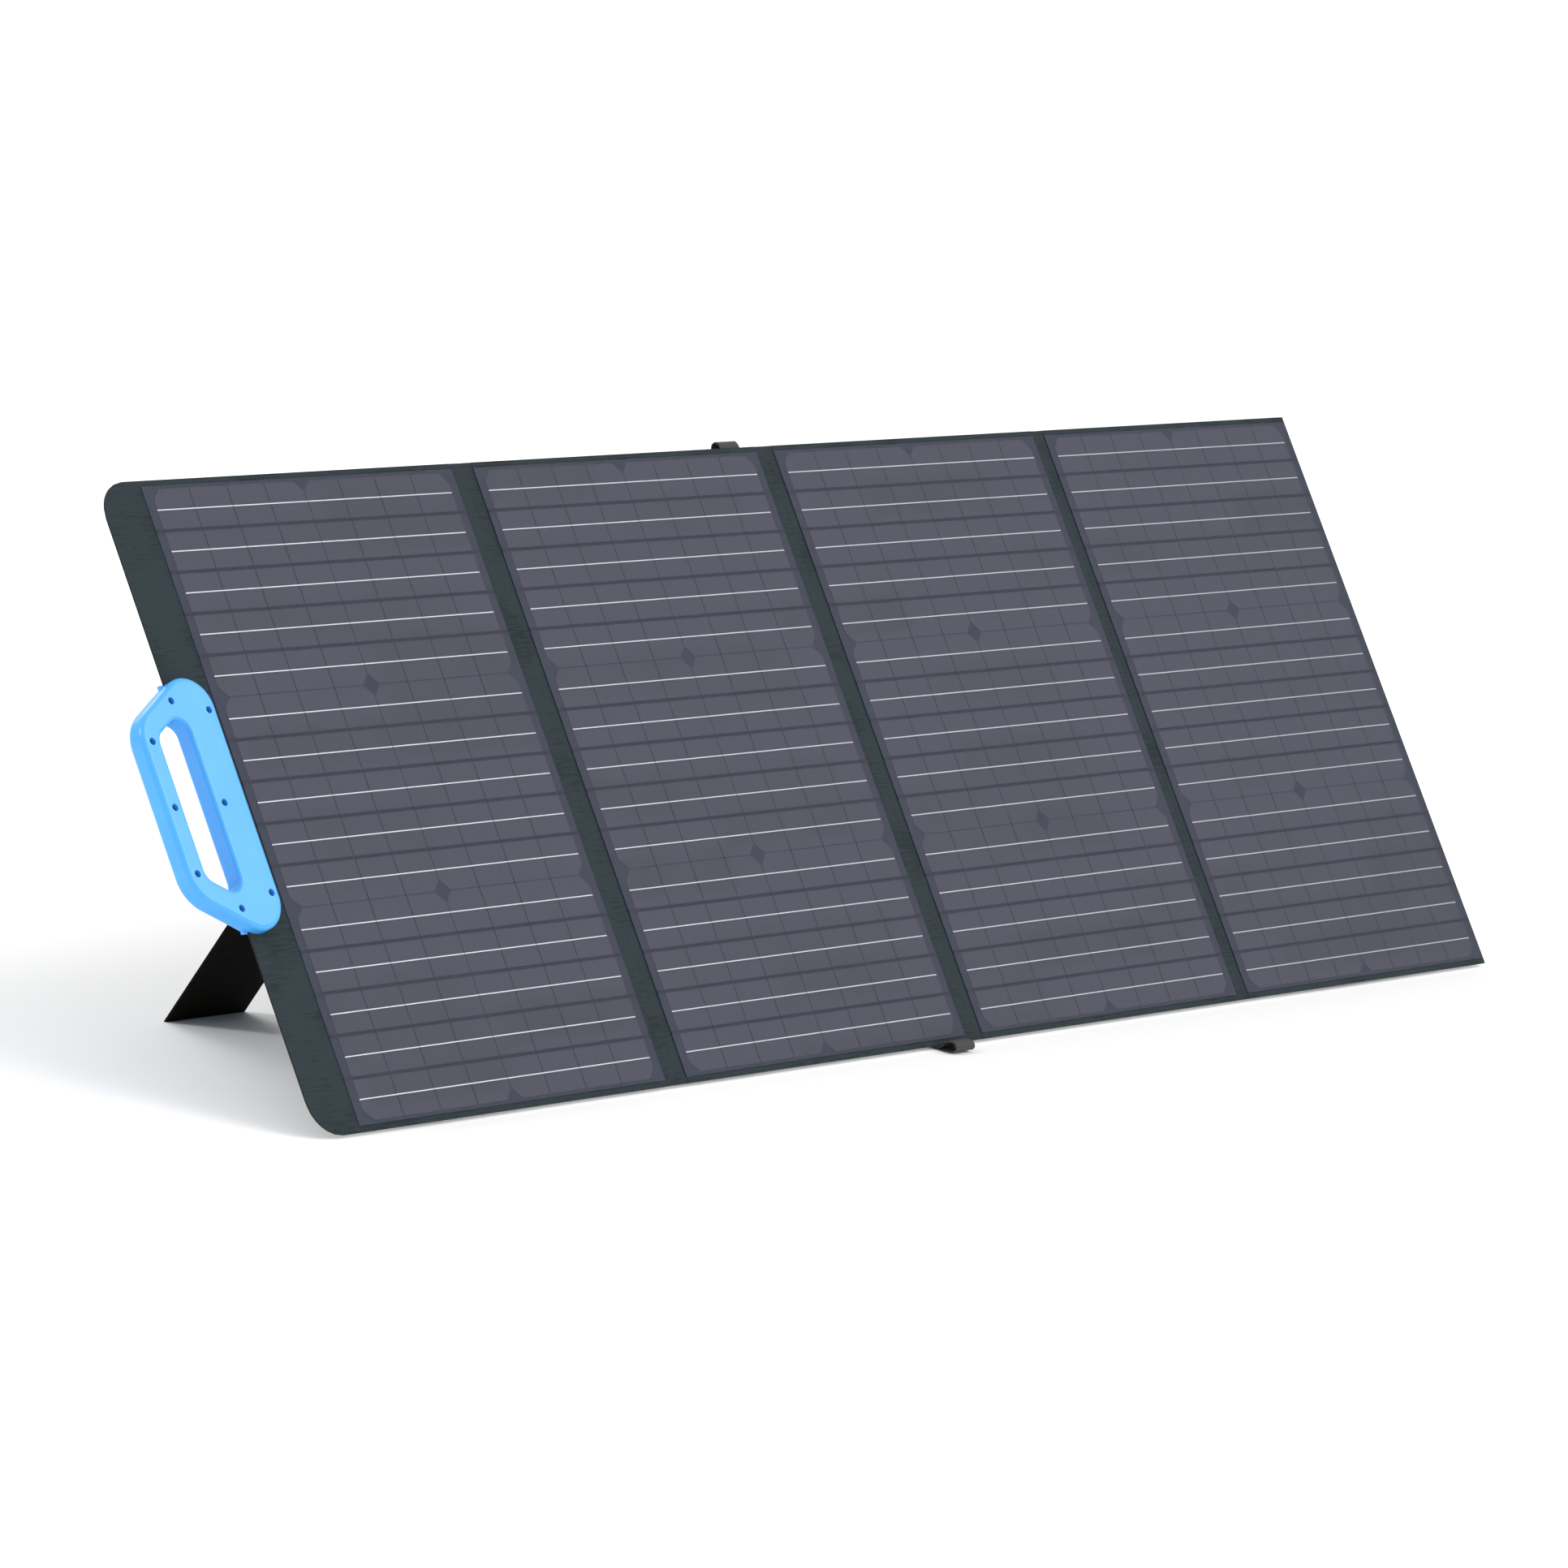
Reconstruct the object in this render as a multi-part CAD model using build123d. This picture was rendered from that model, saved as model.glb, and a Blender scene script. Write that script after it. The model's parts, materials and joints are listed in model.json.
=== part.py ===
"""Folding solar panel: four stiff panels in one cloth sheet, a carry handle and two fold-out legs.

Parts are drawn in the sheet's own frame and then stood up as a whole:
X runs along the sheet from its left edge, Y up its slope from the bottom edge,
and Z out of its sunny side, with zero on the front of the clear film.
Negative Z is behind the sheet. Lengths are millimetres, angles are degrees.
"""

import os
from math import cos, radians, sin, tan

from build123d import *

# --- how the sheet stands ---------------------------------------------------
LEAN = 34.0  # the sheet leans back this far from upright
LEG_LEAN = 31.5  # each leg slopes back this far from upright
FLOOR_GAP = 2.8  # room under the hem for the closing strap that is caught there

# --- the sheet --------------------------------------------------------------
SHEET_H = 538.0
LEFT_STRIP = 47.9  # bare cloth between the left edge and the first laminate
LAMINATE_W = 361.3
LAMINATE_H = 528.0
FOLD_GAPS = (26.8, 23.1, 16.7)  # cloth between neighbouring laminates
RIGHT_MARGIN = 2.4
CORNER_R = 30.0  # rounded corners on the handle side
PANELS = 4

# --- layers, front to back --------------------------------------------------
FILM_T = 0.25
RIBBON_T = 0.1
RIBBON_ROOM = 0.03  # clear resin between the film and the ribbons
CELL_T = 0.2
BACKING_T = 0.45
CLOTH_T = 0.7
BOARD_T = 1.6
BOARD_INSET = 3.0  # the board is this much smaller than its laminate all round

FILM_BACK = -FILM_T
RIBBON_FRONT = FILM_BACK - RIBBON_ROOM
RIBBON_BACK = RIBBON_FRONT - RIBBON_T
CELL_BACK = RIBBON_BACK - CELL_T
CLOTH_FRONT = CELL_BACK - BACKING_T
HEM_MIDDLE = CLOTH_FRONT - CLOTH_T
HEM_BACK = HEM_MIDDLE - CLOTH_T
BOARD_BACK = HEM_MIDDLE - BOARD_T
PANEL_BACK = BOARD_BACK - CLOTH_T

# --- solar cells ------------------------------------------------------------
WAFER_COLUMNS = 2
WAFER_ROWS = 3
WAFER_W = 171.3
WAFER_H = 173.5
WAFER_GAP = 0.8
WAFER_CORNER = 9.0  # the cut corners of a pseudo-square wafer
STRIPS_PER_WAFER = 5
STRIP_GAP = 2.0
RIBBON_W = 0.9
RIBBON_SPANS = 4  # ribbon pieces end to end across a laminate
RIBBON_BREAK = 1.5

# --- folds ------------------------------------------------------------------
# How far apart the fronts of two panels lie once folded, and where each fold's axis runs.
FOLD_SPACING = (15.5, 10.0, 2.0)
FOLD_SHIFT = (2.8, -2.9, 0.0)  # axis from the middle of its gap

# --- handle -----------------------------------------------------------------
HANDLE_LEFT = -53.3
HANDLE_RIGHT = 37.5
HANDLE_SLANT = 30.0  # slope of the upper and lower ends
HANDLE_LEFT_HALF = 70.3  # half height at the left, to the sharp corner
HANDLE_LEFT_R = 32.0
HANDLE_RIGHT_R = 26.0
HANDLE_FRONT = 9.3
HANDLE_BACK = -8.0
HANDLE_WALL = 2.6
HANDLE_EDGE_R = 4.6
SLOT_LEFT = -34.4
SLOT_RIGHT = 0.8
SLOT_LEFT_HALF = 57.7  # half height at the slot's left side, to the sharp corner
SLOT_LEFT_R = 12.0
SLOT_RIGHT_R = 11.0
SLOT_EDGE_R = 3.4
SCREW_SPOTS = ((-9.3, 85.0), (28.2, 75.2), (-43.8, 54.0))  # mirrored about the middle
SCREW_MIDDLE_X = (-43.8, 10.8)
SCREW_HEAD_R = 2.7
SCREW_HEAD_T = 1.8
SCREW_SHANK_R = 1.4
SCREW_SINK = 3.6  # depth of the head below the handle's face
SCREW_RECESS_R = 3.0
BOSS_R = 4.6
FIT = 0.05  # radial room for a shank in its hole
NUB = (3.6, 3.0, 3.4)  # small lugs where the sheet's edge enters the handle
NUB_X = -2.2
NUB_RISE = 0.4  # from the handle's edge to the middle of a lug

# --- legs -------------------------------------------------------------------
LEG_W = 92.0
LEG_T = 2.0
LEG_HINGE_UP = 308.0  # hinge line, measured up the slope
LEG_GAP = 0.4  # between a folded leg and the cloth behind it
LEG_X_OFFSET = -2.5  # leg middle from its laminate's middle
LEG_CORNER_R = 6.0
LEG_TOP_GAP = 3.0  # the board stops short of the hinge line
LEG_CLOTH_H = 18.0  # sewn height of the hinge cloth
LEG_CLOTH_UP = 0.5  # from the hinge line to the hinge cloth
LIMIT_STRAP_W = 20.0
LIMIT_STRAP_T = 0.9
LIMIT_ON_LEG = 150.0  # down the leg from its hinge
LIMIT_ON_PANEL = 150.0  # down the sheet from the hinge
SNAP_ON_LEG = 125.0
SNAP_STUD_R = 4.0
SNAP_STUD_T = 1.9
SNAP_SOCKET_R = 6.5
SNAP_CLEAR = 0.4
SNAP_CAP_R = 7.6
SNAP_CAP_T = 0.8

# --- closing straps ---------------------------------------------------------
STRAP_W = 25.0
STRAP_T = 1.2
STRAP_X = 770.0
STRAP_SEWN_FROM = 60.0  # where each strap is sewn on, from its hem
TAB_FOLD = 43.0  # where each strap's free end leaves its loop, from the hem
TAB_GAP = 1.8  # room for the free end to turn in
TAB_END = 84.0
STRAP_SNAP_R = 6.2
STRAP_SNAP_T = 1.4

# --- junction box and pocket on the second panel ----------------------------
BOX_X = 590.0
BOX_UP = 405.0
BOX_SIZE = (112.0, 76.0)
BOX_DEPTH = 19.0
BOX_WALL = 2.4
BOX_LID_T = 3.0
BOX_R = 8.0
LID_SCREW_INSET = 8.0
LID_SCREW_R = 1.5
LID_SCREW_HEAD_R = 2.6
GLAND_R = 8.5
GLAND_NECK_R = 6.0
GLAND_DOME_R = 7.2
GLAND_DOME_EDGE_R = 2.0
GLAND_BORE_R = 3.3
GLAND_NECK = 9.6  # length that passes through the wall
GLAND_NUT = 8.0
GLAND_DOME = 6.5
DIODE = (9.0, 6.0, 4.0)
DIODES = 3
DIODE_PITCH = 21.6
POCKET_X = 590.0
POCKET_UP = 190.0
POCKET_SIZE = (236.0, 168.0, 12.0)
POCKET_R = 18.0
POCKET_EDGE_R = 5.0
ZIP_FROM_TOP = 26.0
ZIP_TRAVEL = 190.0
SLIDER = (9.0, 7.0, 2.6)
SLIDER_EDGE_R = 0.8
PULL = (5.0, 24.0, 1.4)
PULL_OVERLAP = 2.0  # how far the pull runs under the slider

SKIN_GAP = 0.1  # between things laid on the cloth and the cloth


def laminate_left(panel):
    """Left edge of a laminate, counting panels from 0 at the handle."""
    return LEFT_STRIP + panel * LAMINATE_W + sum(FOLD_GAPS[:panel])


def cloth_span(panel):
    """Left and right ends of one panel's own cloth."""
    left = 0.0 if panel == 0 else laminate_left(panel)
    right = laminate_left(panel) + LAMINATE_W
    return left, right + (RIGHT_MARGIN if panel == PANELS - 1 else 0.0)


SHEET_W = cloth_span(PANELS - 1)[1]


def fold_axis(fold):
    """X and Z of a fold's axis in the sheet's frame."""
    middle = laminate_left(fold) + LAMINATE_W + FOLD_GAPS[fold] / 2
    return middle + FOLD_SHIFT[fold], FOLD_SPACING[fold] / 2


def slab(left, right, low, high, back, front):
    """A box given by its six faces."""
    spot = Pos((left + right) / 2, (low + high) / 2, (back + front) / 2)
    return spot * Box(right - left, high - low, front - back)


def laminate_slab(panel, back, front, inset=0.0):
    left = laminate_left(panel) + inset
    low = (SHEET_H - LAMINATE_H) / 2 + inset
    return slab(left, left + LAMINATE_W - 2 * inset, low, SHEET_H - low, back, front)


def group(solids):
    """Separate solids that share one node."""
    return Compound(children=list(solids))


# --- laminate ---------------------------------------------------------------
def wafer_corner_cut():
    """A pseudo-square wafer's outline, extruded to a cell's thickness."""
    outline = Rectangle(WAFER_W, WAFER_H)
    outline = chamfer(outline.vertices(), WAFER_CORNER)
    return extrude(outline, CELL_T)


def wafer_strips():
    """One wafer, cut across into strips that stay a little apart."""
    wafer = wafer_corner_cut()
    pitch = WAFER_H / STRIPS_PER_WAFER
    strips = []
    for row in range(STRIPS_PER_WAFER):
        low = -WAFER_H / 2 + row * pitch + (STRIP_GAP / 2 if row else 0.0)
        last = row == STRIPS_PER_WAFER - 1
        high = -WAFER_H / 2 + (row + 1) * pitch - (0.0 if last else STRIP_GAP / 2)
        strips.append(wafer & slab(-WAFER_W, WAFER_W, low, high, 0.0, CELL_T))
    return strips


def wafer_centres(panel):
    """Middles of a panel's wafers."""
    middle_x = laminate_left(panel) + LAMINATE_W / 2
    for column in range(WAFER_COLUMNS):
        x = middle_x + (column - (WAFER_COLUMNS - 1) / 2) * (WAFER_W + WAFER_GAP)
        for row in range(WAFER_ROWS):
            yield x, SHEET_H / 2 + (row - (WAFER_ROWS - 1) / 2) * (WAFER_H + WAFER_GAP)


def cells(panel, strips):
    placed = []
    for x, up in wafer_centres(panel):
        placed += [Pos(x, up, CELL_BACK) * strip.solid() for strip in strips]
    return group(placed)


def ribbons(panel):
    """Tinned ribbons along the middle of every strip, in short spans."""
    field = WAFER_COLUMNS * WAFER_W + (WAFER_COLUMNS - 1) * WAFER_GAP
    left = laminate_left(panel) + (LAMINATE_W - field) / 2
    span = field / RIBBON_SPANS
    pitch = WAFER_H / STRIPS_PER_WAFER
    rows = sorted({round(up, 3) for _, up in wafer_centres(panel)})
    placed = []
    for middle in rows:
        for strip in range(STRIPS_PER_WAFER):
            up = middle + (strip - (STRIPS_PER_WAFER - 1) / 2) * pitch
            for piece in range(RIBBON_SPANS):
                start = left + piece * span + RIBBON_BREAK / 2
                end = start + span - RIBBON_BREAK
                low, high = up - RIBBON_W / 2, up + RIBBON_W / 2
                placed.append(slab(start, end, low, high, RIBBON_BACK, RIBBON_FRONT))
    return group(placed)


# --- cloth ------------------------------------------------------------------
def cloth_plate(panel, back, front):
    """One layer of a panel's cloth, with the sheet's rounded corners on the first."""
    left, right = cloth_span(panel)
    plate = slab(left, right, 0.0, SHEET_H, back, front)
    if panel == 0:
        edges = plate.edges().filter_by(Axis.Z).sort_by(Axis.X)[:2]
        plate = fillet(edges, CORNER_R)
        plate -= slot_notch(back, front)
        for x, up in screw_places():
            if x > BOSS_R:
                plate -= Pos(x, up, back) * Cylinder(BOSS_R + FIT, 4 * CLOTH_T)
    return plate


def slot_notch(back, front, room=0.0):
    """Where the sheet's edge is cut back behind the wall of the handle's slot."""
    reach = SLOT_RIGHT + HANDLE_WALL - room
    half = SLOT_LEFT_HALF + (SLOT_RIGHT - SLOT_LEFT) * tan(radians(HANDLE_SLANT)) + HANDLE_WALL
    middle = SHEET_H / 2
    return slab(-1.0, reach, middle - half + room, middle + half - room, back, front)


def front_cloth(panel):
    return cloth_plate(panel, HEM_MIDDLE, CLOTH_FRONT)


def back_cloth(panel):
    """The rear layer: flat along the hem, raised over the board."""
    cloth = cloth_plate(panel, HEM_BACK, HEM_MIDDLE)
    cloth += laminate_slab(panel, PANEL_BACK, HEM_MIDDLE, BOARD_INSET - CLOTH_T)
    return cloth - laminate_slab(panel, BOARD_BACK, HEM_MIDDLE, BOARD_INSET)


def fold_cloth(fold):
    """Two layers of cloth with nothing between them, where the sheet folds."""
    left = laminate_left(fold) + LAMINATE_W
    return slab(left, left + FOLD_GAPS[fold], 0.0, SHEET_H, HEM_BACK, CLOTH_FRONT)


# --- handle -----------------------------------------------------------------
def trapezium(left, right, left_half, left_r, right_r):
    """A face that grows taller to the right at the handle's slant, its corners rounded."""
    right_half = left_half + (right - left) * tan(radians(HANDLE_SLANT))
    corners = [(right, right_half), (left, left_half), (left, -left_half), (right, -right_half)]
    face = make_face(Polyline(*corners, close=True))
    face = fillet(face.vertices().sort_by(Axis.X)[:2], left_r)
    return fillet(face.vertices().sort_by(Axis.X)[-2:], right_r)


def handle_outline(inset=0.0):
    """The handle's outer shape, optionally drawn smaller all round."""
    sides = HANDLE_LEFT, HANDLE_RIGHT, HANDLE_LEFT_HALF
    face = trapezium(*sides, HANDLE_LEFT_R, HANDLE_RIGHT_R)
    return offset(face, -inset) if inset else face


def slot_outline(outset=0.0):
    """The hand opening, optionally drawn larger all round."""
    sides = SLOT_LEFT, SLOT_RIGHT, SLOT_LEFT_HALF
    face = trapezium(*sides, SLOT_LEFT_R, SLOT_RIGHT_R)
    return offset(face, outset) if outset else face


def screw_places():
    """X and height up the sheet of the handle's screws."""
    middle = SHEET_H / 2
    for x, away in SCREW_SPOTS:
        yield x, middle + away
        yield x, middle - away
    for x in SCREW_MIDDLE_X:
        yield x, middle


def handle_ring(back, front, inset=0.0):
    """The handle's outline with its slot, as a plate between two depths."""
    ring = handle_outline(inset) - slot_outline(inset)
    return Pos(0, SHEET_H / 2, back) * extrude(ring, front - back)


def round_rim(ring, axis_index):
    """Round the outer and slot edges at the front (-1) or back (0) of a ring."""
    rim = ring.faces().sort_by(Axis.Z)[axis_index]
    ring = fillet(rim.outer_wire().edges(), HANDLE_EDGE_R)
    rim = ring.faces().sort_by(Axis.Z)[axis_index]
    return fillet(rim.inner_wires()[0].edges(), SLOT_EDGE_R)


def cloth_room():
    """The space that the sheet's edge takes up inside the handle."""
    room = slab(-FIT, HANDLE_RIGHT + 1.0, 0.0, SHEET_H, HEM_BACK, CLOTH_FRONT)
    return room - slot_notch(HEM_BACK, CLOTH_FRONT, FIT)


def handle_front_shell():
    parting = HEM_MIDDLE
    shell = round_rim(handle_ring(parting, HANDLE_FRONT), -1)
    hollow = handle_ring(parting, HANDLE_FRONT - HANDLE_WALL, HANDLE_WALL)
    depth = HANDLE_FRONT - parting
    for x, up in screw_places():
        hollow -= Pos(x, up, parting + depth / 2) * Cylinder(BOSS_R, depth)
    shell -= hollow
    for x, up in screw_places():
        recess = Pos(x, up, HANDLE_FRONT - SCREW_SINK / 2 - SCREW_HEAD_T / 2)
        shell -= recess * Cylinder(SCREW_RECESS_R, SCREW_SINK + SCREW_HEAD_T)
        shell -= Pos(x, up, 0) * Cylinder(SCREW_SHANK_R + FIT, 4 * HANDLE_FRONT)
    return shell - (cloth_room() - cloth_bosses())


def cloth_bosses():
    """Bosses that pass through the sheet's holes."""
    depth = CLOTH_FRONT - HEM_BACK
    bosses = [
        Pos(x, up, (CLOTH_FRONT + HEM_BACK) / 2) * Cylinder(BOSS_R, depth)
        for x, up in screw_places()
    ]
    return Part() + bosses


def handle_back_shell():
    parting = HEM_MIDDLE
    shell = round_rim(handle_ring(HANDLE_BACK, parting), 0)
    hollow = handle_ring(HANDLE_BACK + HANDLE_WALL, parting, HANDLE_WALL)
    depth = parting - HANDLE_BACK
    for x, up in screw_places():
        hollow -= Pos(x, up, parting - depth / 2) * Cylinder(BOSS_R, depth)
    shell -= hollow
    for side in (-1, 1):
        edge = HANDLE_LEFT_HALF + (NUB_X - HANDLE_LEFT) * tan(radians(HANDLE_SLANT))
        up = SHEET_H / 2 + side * (edge + NUB_RISE)
        shell += Pos(NUB_X, up, parting - NUB[2] / 2) * Box(*NUB)
    for x, up in screw_places():
        blind = HANDLE_BACK + HANDLE_WALL / 2
        shell -= Pos(x, up, blind + depth / 2) * Cylinder(SCREW_SHANK_R + FIT, depth)
    return shell - (cloth_room() - cloth_bosses())


def handle_screws():
    """Pan-head screws, from their recesses to the back shell's bosses."""
    seat = HANDLE_FRONT - SCREW_SINK - SCREW_HEAD_T
    end = HANDLE_BACK + HANDLE_WALL / 2 + FIT
    head = Pos(0, 0, seat + SCREW_HEAD_T / 2) * Cylinder(SCREW_HEAD_R, SCREW_HEAD_T)
    shank = Pos(0, 0, (seat + end) / 2) * Cylinder(SCREW_SHANK_R, seat - end)
    socket = Pos(0, 0, seat + SCREW_HEAD_T) * Cylinder(SCREW_SHANK_R, SCREW_HEAD_T)
    screw = (head + shank - socket).solid()
    return group(Pos(x, up, 0) * screw for x, up in screw_places())


# --- legs -------------------------------------------------------------------
LEG_AXIS_Z = PANEL_BACK - LEG_GAP - LEG_T / 2
LEG_OPEN = LEAN + LEG_LEAN  # angle between an open leg and the sheet


def leg_middle(panel):
    return laminate_left(panel) + LAMINATE_W / 2 + LEG_X_OFFSET


def leg_length():
    """From the hinge line to the floor along an open leg."""
    height = FLOOR_GAP - HEM_BACK * sin(radians(LEAN))
    height += LEG_HINGE_UP * cos(radians(LEAN)) + LEG_AXIS_Z * sin(radians(LEAN))
    return height / cos(radians(LEG_LEAN))


def open_leg(shape, panel):
    """Swing a shape drawn hanging down from the hinge line out to where the leg stands."""
    hinge = Pos(leg_middle(panel), LEG_HINGE_UP, LEG_AXIS_Z)
    return hinge * Rot(LEG_OPEN, 0, 0) * shape


def leg_board(panel):
    """A stiff board, its foot cut level with the floor when the leg is open."""
    length = leg_length()
    spare = LEG_T
    board = slab(-LEG_W / 2, LEG_W / 2, -length - spare, -LEG_TOP_GAP, -LEG_T / 2, LEG_T / 2)
    board = fillet(board.edges().filter_by(Axis.Z).sort_by(Axis.Y)[2:], LEG_CORNER_R)
    foot = Rot(-LEG_LEAN, 0, 0) * Box(2 * LEG_W, 4 * spare, 20 * LEG_T)
    foot_drop = 2 * spare / cos(radians(LEG_LEAN))
    board -= Pos(0, -length - foot_drop, 0) * foot
    hole = Cylinder(SNAP_SOCKET_R + FIT, 2 * LEG_T)
    return open_leg(board - Pos(0, -SNAP_ON_LEG, 0) * hole, panel)


def snap_socket(panel):
    """The cup half of the snap, set in the leg with its cap on the outer side."""
    cup = Cylinder(SNAP_SOCKET_R, LEG_T) - Cylinder(SNAP_STUD_R + SNAP_CLEAR, LEG_T)
    cap = Cylinder(SNAP_CAP_R, SNAP_CAP_T)
    cap = fillet(cap.edges().sort_by(Axis.Z)[0], SNAP_CAP_T / 2)
    cup += Pos(0, 0, -(LEG_T + SNAP_CAP_T) / 2) * cap
    return open_leg(Pos(0, -SNAP_ON_LEG, 0) * cup, panel)


def snap_stud(panel):
    """The stud half of the snap, on the cloth behind the leg."""
    z = PANEL_BACK - SNAP_STUD_T / 2
    stud = Cylinder(SNAP_STUD_R, SNAP_STUD_T)
    return Pos(leg_middle(panel), LEG_HINGE_UP - SNAP_ON_LEG, z) * stud


def leg_hinge_cloth(panel):
    """The strip of cloth that joins a leg's board to the back of the sheet."""
    left = leg_middle(panel) - LEG_W / 2
    low = LEG_HINGE_UP + LEG_CLOTH_UP
    back = PANEL_BACK - SKIN_GAP
    return slab(left, left + LEG_W, low, low + LEG_CLOTH_H, back - CLOTH_T, back)


def limit_strap(panel):
    """Webbing that stops a leg from opening further."""
    reach = LIMIT_ON_LEG
    angle = radians(LEG_OPEN)
    on_panel = (LEG_HINGE_UP - LIMIT_ON_PANEL, PANEL_BACK)
    on_leg = (LEG_HINGE_UP - reach * cos(angle), LEG_AXIS_Z - reach * sin(angle))
    run = Vector(0, on_leg[0] - on_panel[0], on_leg[1] - on_panel[1])
    short = run.length - 2 * LEG_T - 2 * LIMIT_STRAP_T
    middle = Vector(0, (on_leg[0] + on_panel[0]) / 2, (on_leg[1] + on_panel[1]) / 2)
    strap = Box(LIMIT_STRAP_W, LIMIT_STRAP_T, short)
    plane = Plane(origin=middle, x_dir=(1, 0, 0), z_dir=run.normalized())
    return Pos(leg_middle(panel), 0, 0) * plane * strap


# --- closing straps ---------------------------------------------------------
def webbing(points, radii):
    """A band of webbing along a route of (Y, Z) points in the sheet's frame."""
    route = FilletPolyline(*[(0, y, z) for y, z in points], radius=radii)
    profile = Plane(origin=route @ 0, x_dir=(1, 0, 0), z_dir=route % 0)
    return Pos(STRAP_X, 0, 0) * sweep(profile * Rectangle(STRAP_W, STRAP_T), path=route)


STRAP_ON_CLOTH = PANEL_BACK - SKIN_GAP - STRAP_T / 2
STRAP_RETURN = STRAP_ON_CLOTH - STRAP_T - 2 * SKIN_GAP


def top_loop():
    """The upper strap, sewn to the back and standing in a loop above the hem."""
    hem = SHEET_H
    route = [
        (hem - STRAP_SEWN_FROM, STRAP_ON_CLOTH),
        (hem - 10.0, STRAP_ON_CLOTH),
        (hem + 5.4, HEM_BACK - 2.0),
        (hem + 5.8, HEM_BACK - 12.0),
        (hem - 12.0, STRAP_RETURN - 9.0),
        (hem - TAB_FOLD, STRAP_RETURN),
    ]
    return webbing(route, [8.0, 3.2, 3.6, 10.0])


def sheet_point(forward, height):
    """Y and Z in the sheet's frame of a point given forward of the hem and above the floor."""
    lean = radians(LEAN)
    y = -forward - HEM_BACK * cos(lean)
    z = height - FLOOR_GAP + HEM_BACK * sin(lean)
    return y * sin(lean) + z * cos(lean), z * sin(lean) - y * cos(lean)


def bottom_loop():
    """The lower strap, caught under the hem so that its loop lies in front of it."""
    low = STRAP_T / 2
    high = low + STRAP_T + SKIN_GAP
    route = [
        (STRAP_SEWN_FROM, STRAP_ON_CLOTH),
        (12.0, STRAP_ON_CLOTH - 0.4),
        sheet_point(-7.0, high),
        sheet_point(5.0, high),
        sheet_point(8.0, 7.0),
        sheet_point(16.0, 7.4),
        sheet_point(17.5, low),
        sheet_point(-16.0, low),
        (22.0, STRAP_RETURN - 3.0),
        (TAB_FOLD, STRAP_RETURN),
    ]
    return webbing(route, [6.0, 3.0, 2.6, 3.4, 3.2, 2.6, 6.0, 8.0])


def strap_tab(top):
    """A strap's free end, snapped back on to its own webbing."""
    start, end = TAB_FOLD + TAB_GAP, TAB_END
    low, high = (SHEET_H - end, SHEET_H - start) if top else (start, end)
    half = STRAP_W / 2
    back, front = STRAP_RETURN - STRAP_T / 2, STRAP_RETURN + STRAP_T / 2
    return slab(STRAP_X - half, STRAP_X + half, low, high, back, front)


def strap_snap(top):
    """The cap of the snap on a strap's free end."""
    up = TAB_END - STRAP_W / 2
    z = STRAP_RETURN - STRAP_T / 2 - STRAP_SNAP_T / 2
    cap = Cylinder(STRAP_SNAP_R, STRAP_SNAP_T)
    cap = fillet(cap.edges().sort_by(Axis.Z)[0], STRAP_SNAP_T / 2)
    return Pos(STRAP_X, SHEET_H - up if top else up, z) * cap


# --- junction box -----------------------------------------------------------
BOX_FRONT = PANEL_BACK - SKIN_GAP
BOX_BACK = BOX_FRONT - BOX_DEPTH


def box_corner_places():
    x = BOX_SIZE[0] / 2 - LID_SCREW_INSET
    up = BOX_SIZE[1] / 2 - LID_SCREW_INSET
    return [(sx * x, sy * up) for sx in (-1, 1) for sy in (-1, 1)]


def box_base():
    """A tray against the cloth, open towards its lid, with a hole for the gland."""
    place = Pos(BOX_X, BOX_UP, BOX_BACK)
    body = extrude(RectangleRounded(*BOX_SIZE, BOX_R), BOX_DEPTH)
    inner = (BOX_SIZE[0] - 2 * BOX_WALL, BOX_SIZE[1] - 2 * BOX_WALL)
    cavity = extrude(RectangleRounded(*inner, BOX_R - BOX_WALL), BOX_DEPTH - BOX_WALL)
    for x, up in box_corner_places():
        cavity -= Pos(x, up, BOX_DEPTH / 2) * Cylinder(BOSS_R, BOX_DEPTH)
    body -= cavity
    for x, up in box_corner_places():
        body -= Pos(x, up, BOX_WALL) * Cylinder(LID_SCREW_R + FIT, BOX_DEPTH)
    gland_hole = Rot(90, 0, 0) * Cylinder(GLAND_NECK_R + FIT, 4 * BOX_WALL)
    return place * (body - Pos(0, -BOX_SIZE[1] / 2, BOX_DEPTH / 2) * gland_hole)


def box_lid():
    place = Pos(BOX_X, BOX_UP, BOX_BACK - BOX_LID_T)
    lid = extrude(RectangleRounded(*BOX_SIZE, BOX_R), BOX_LID_T)
    lid = chamfer(lid.faces().sort_by(Axis.Z)[0].edges(), BOX_LID_T / 3)
    for x, up in box_corner_places():
        lid -= Pos(x, up, 0) * Cylinder(LID_SCREW_R + FIT, 4 * BOX_LID_T)
        lid -= Pos(x, up, 0) * Cylinder(LID_SCREW_HEAD_R + FIT, BOX_LID_T)
    return place * lid


def box_screws():
    head_t = BOX_LID_T / 2
    length = BOX_DEPTH / 2
    screw = Cylinder(LID_SCREW_HEAD_R, head_t) + Pos(0, 0, length / 2) * Cylinder(LID_SCREW_R, length)
    z = BOX_BACK - BOX_LID_T + head_t / 2
    return group(Pos(BOX_X + x, BOX_UP + up, z) * screw.solid() for x, up in box_corner_places())


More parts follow.
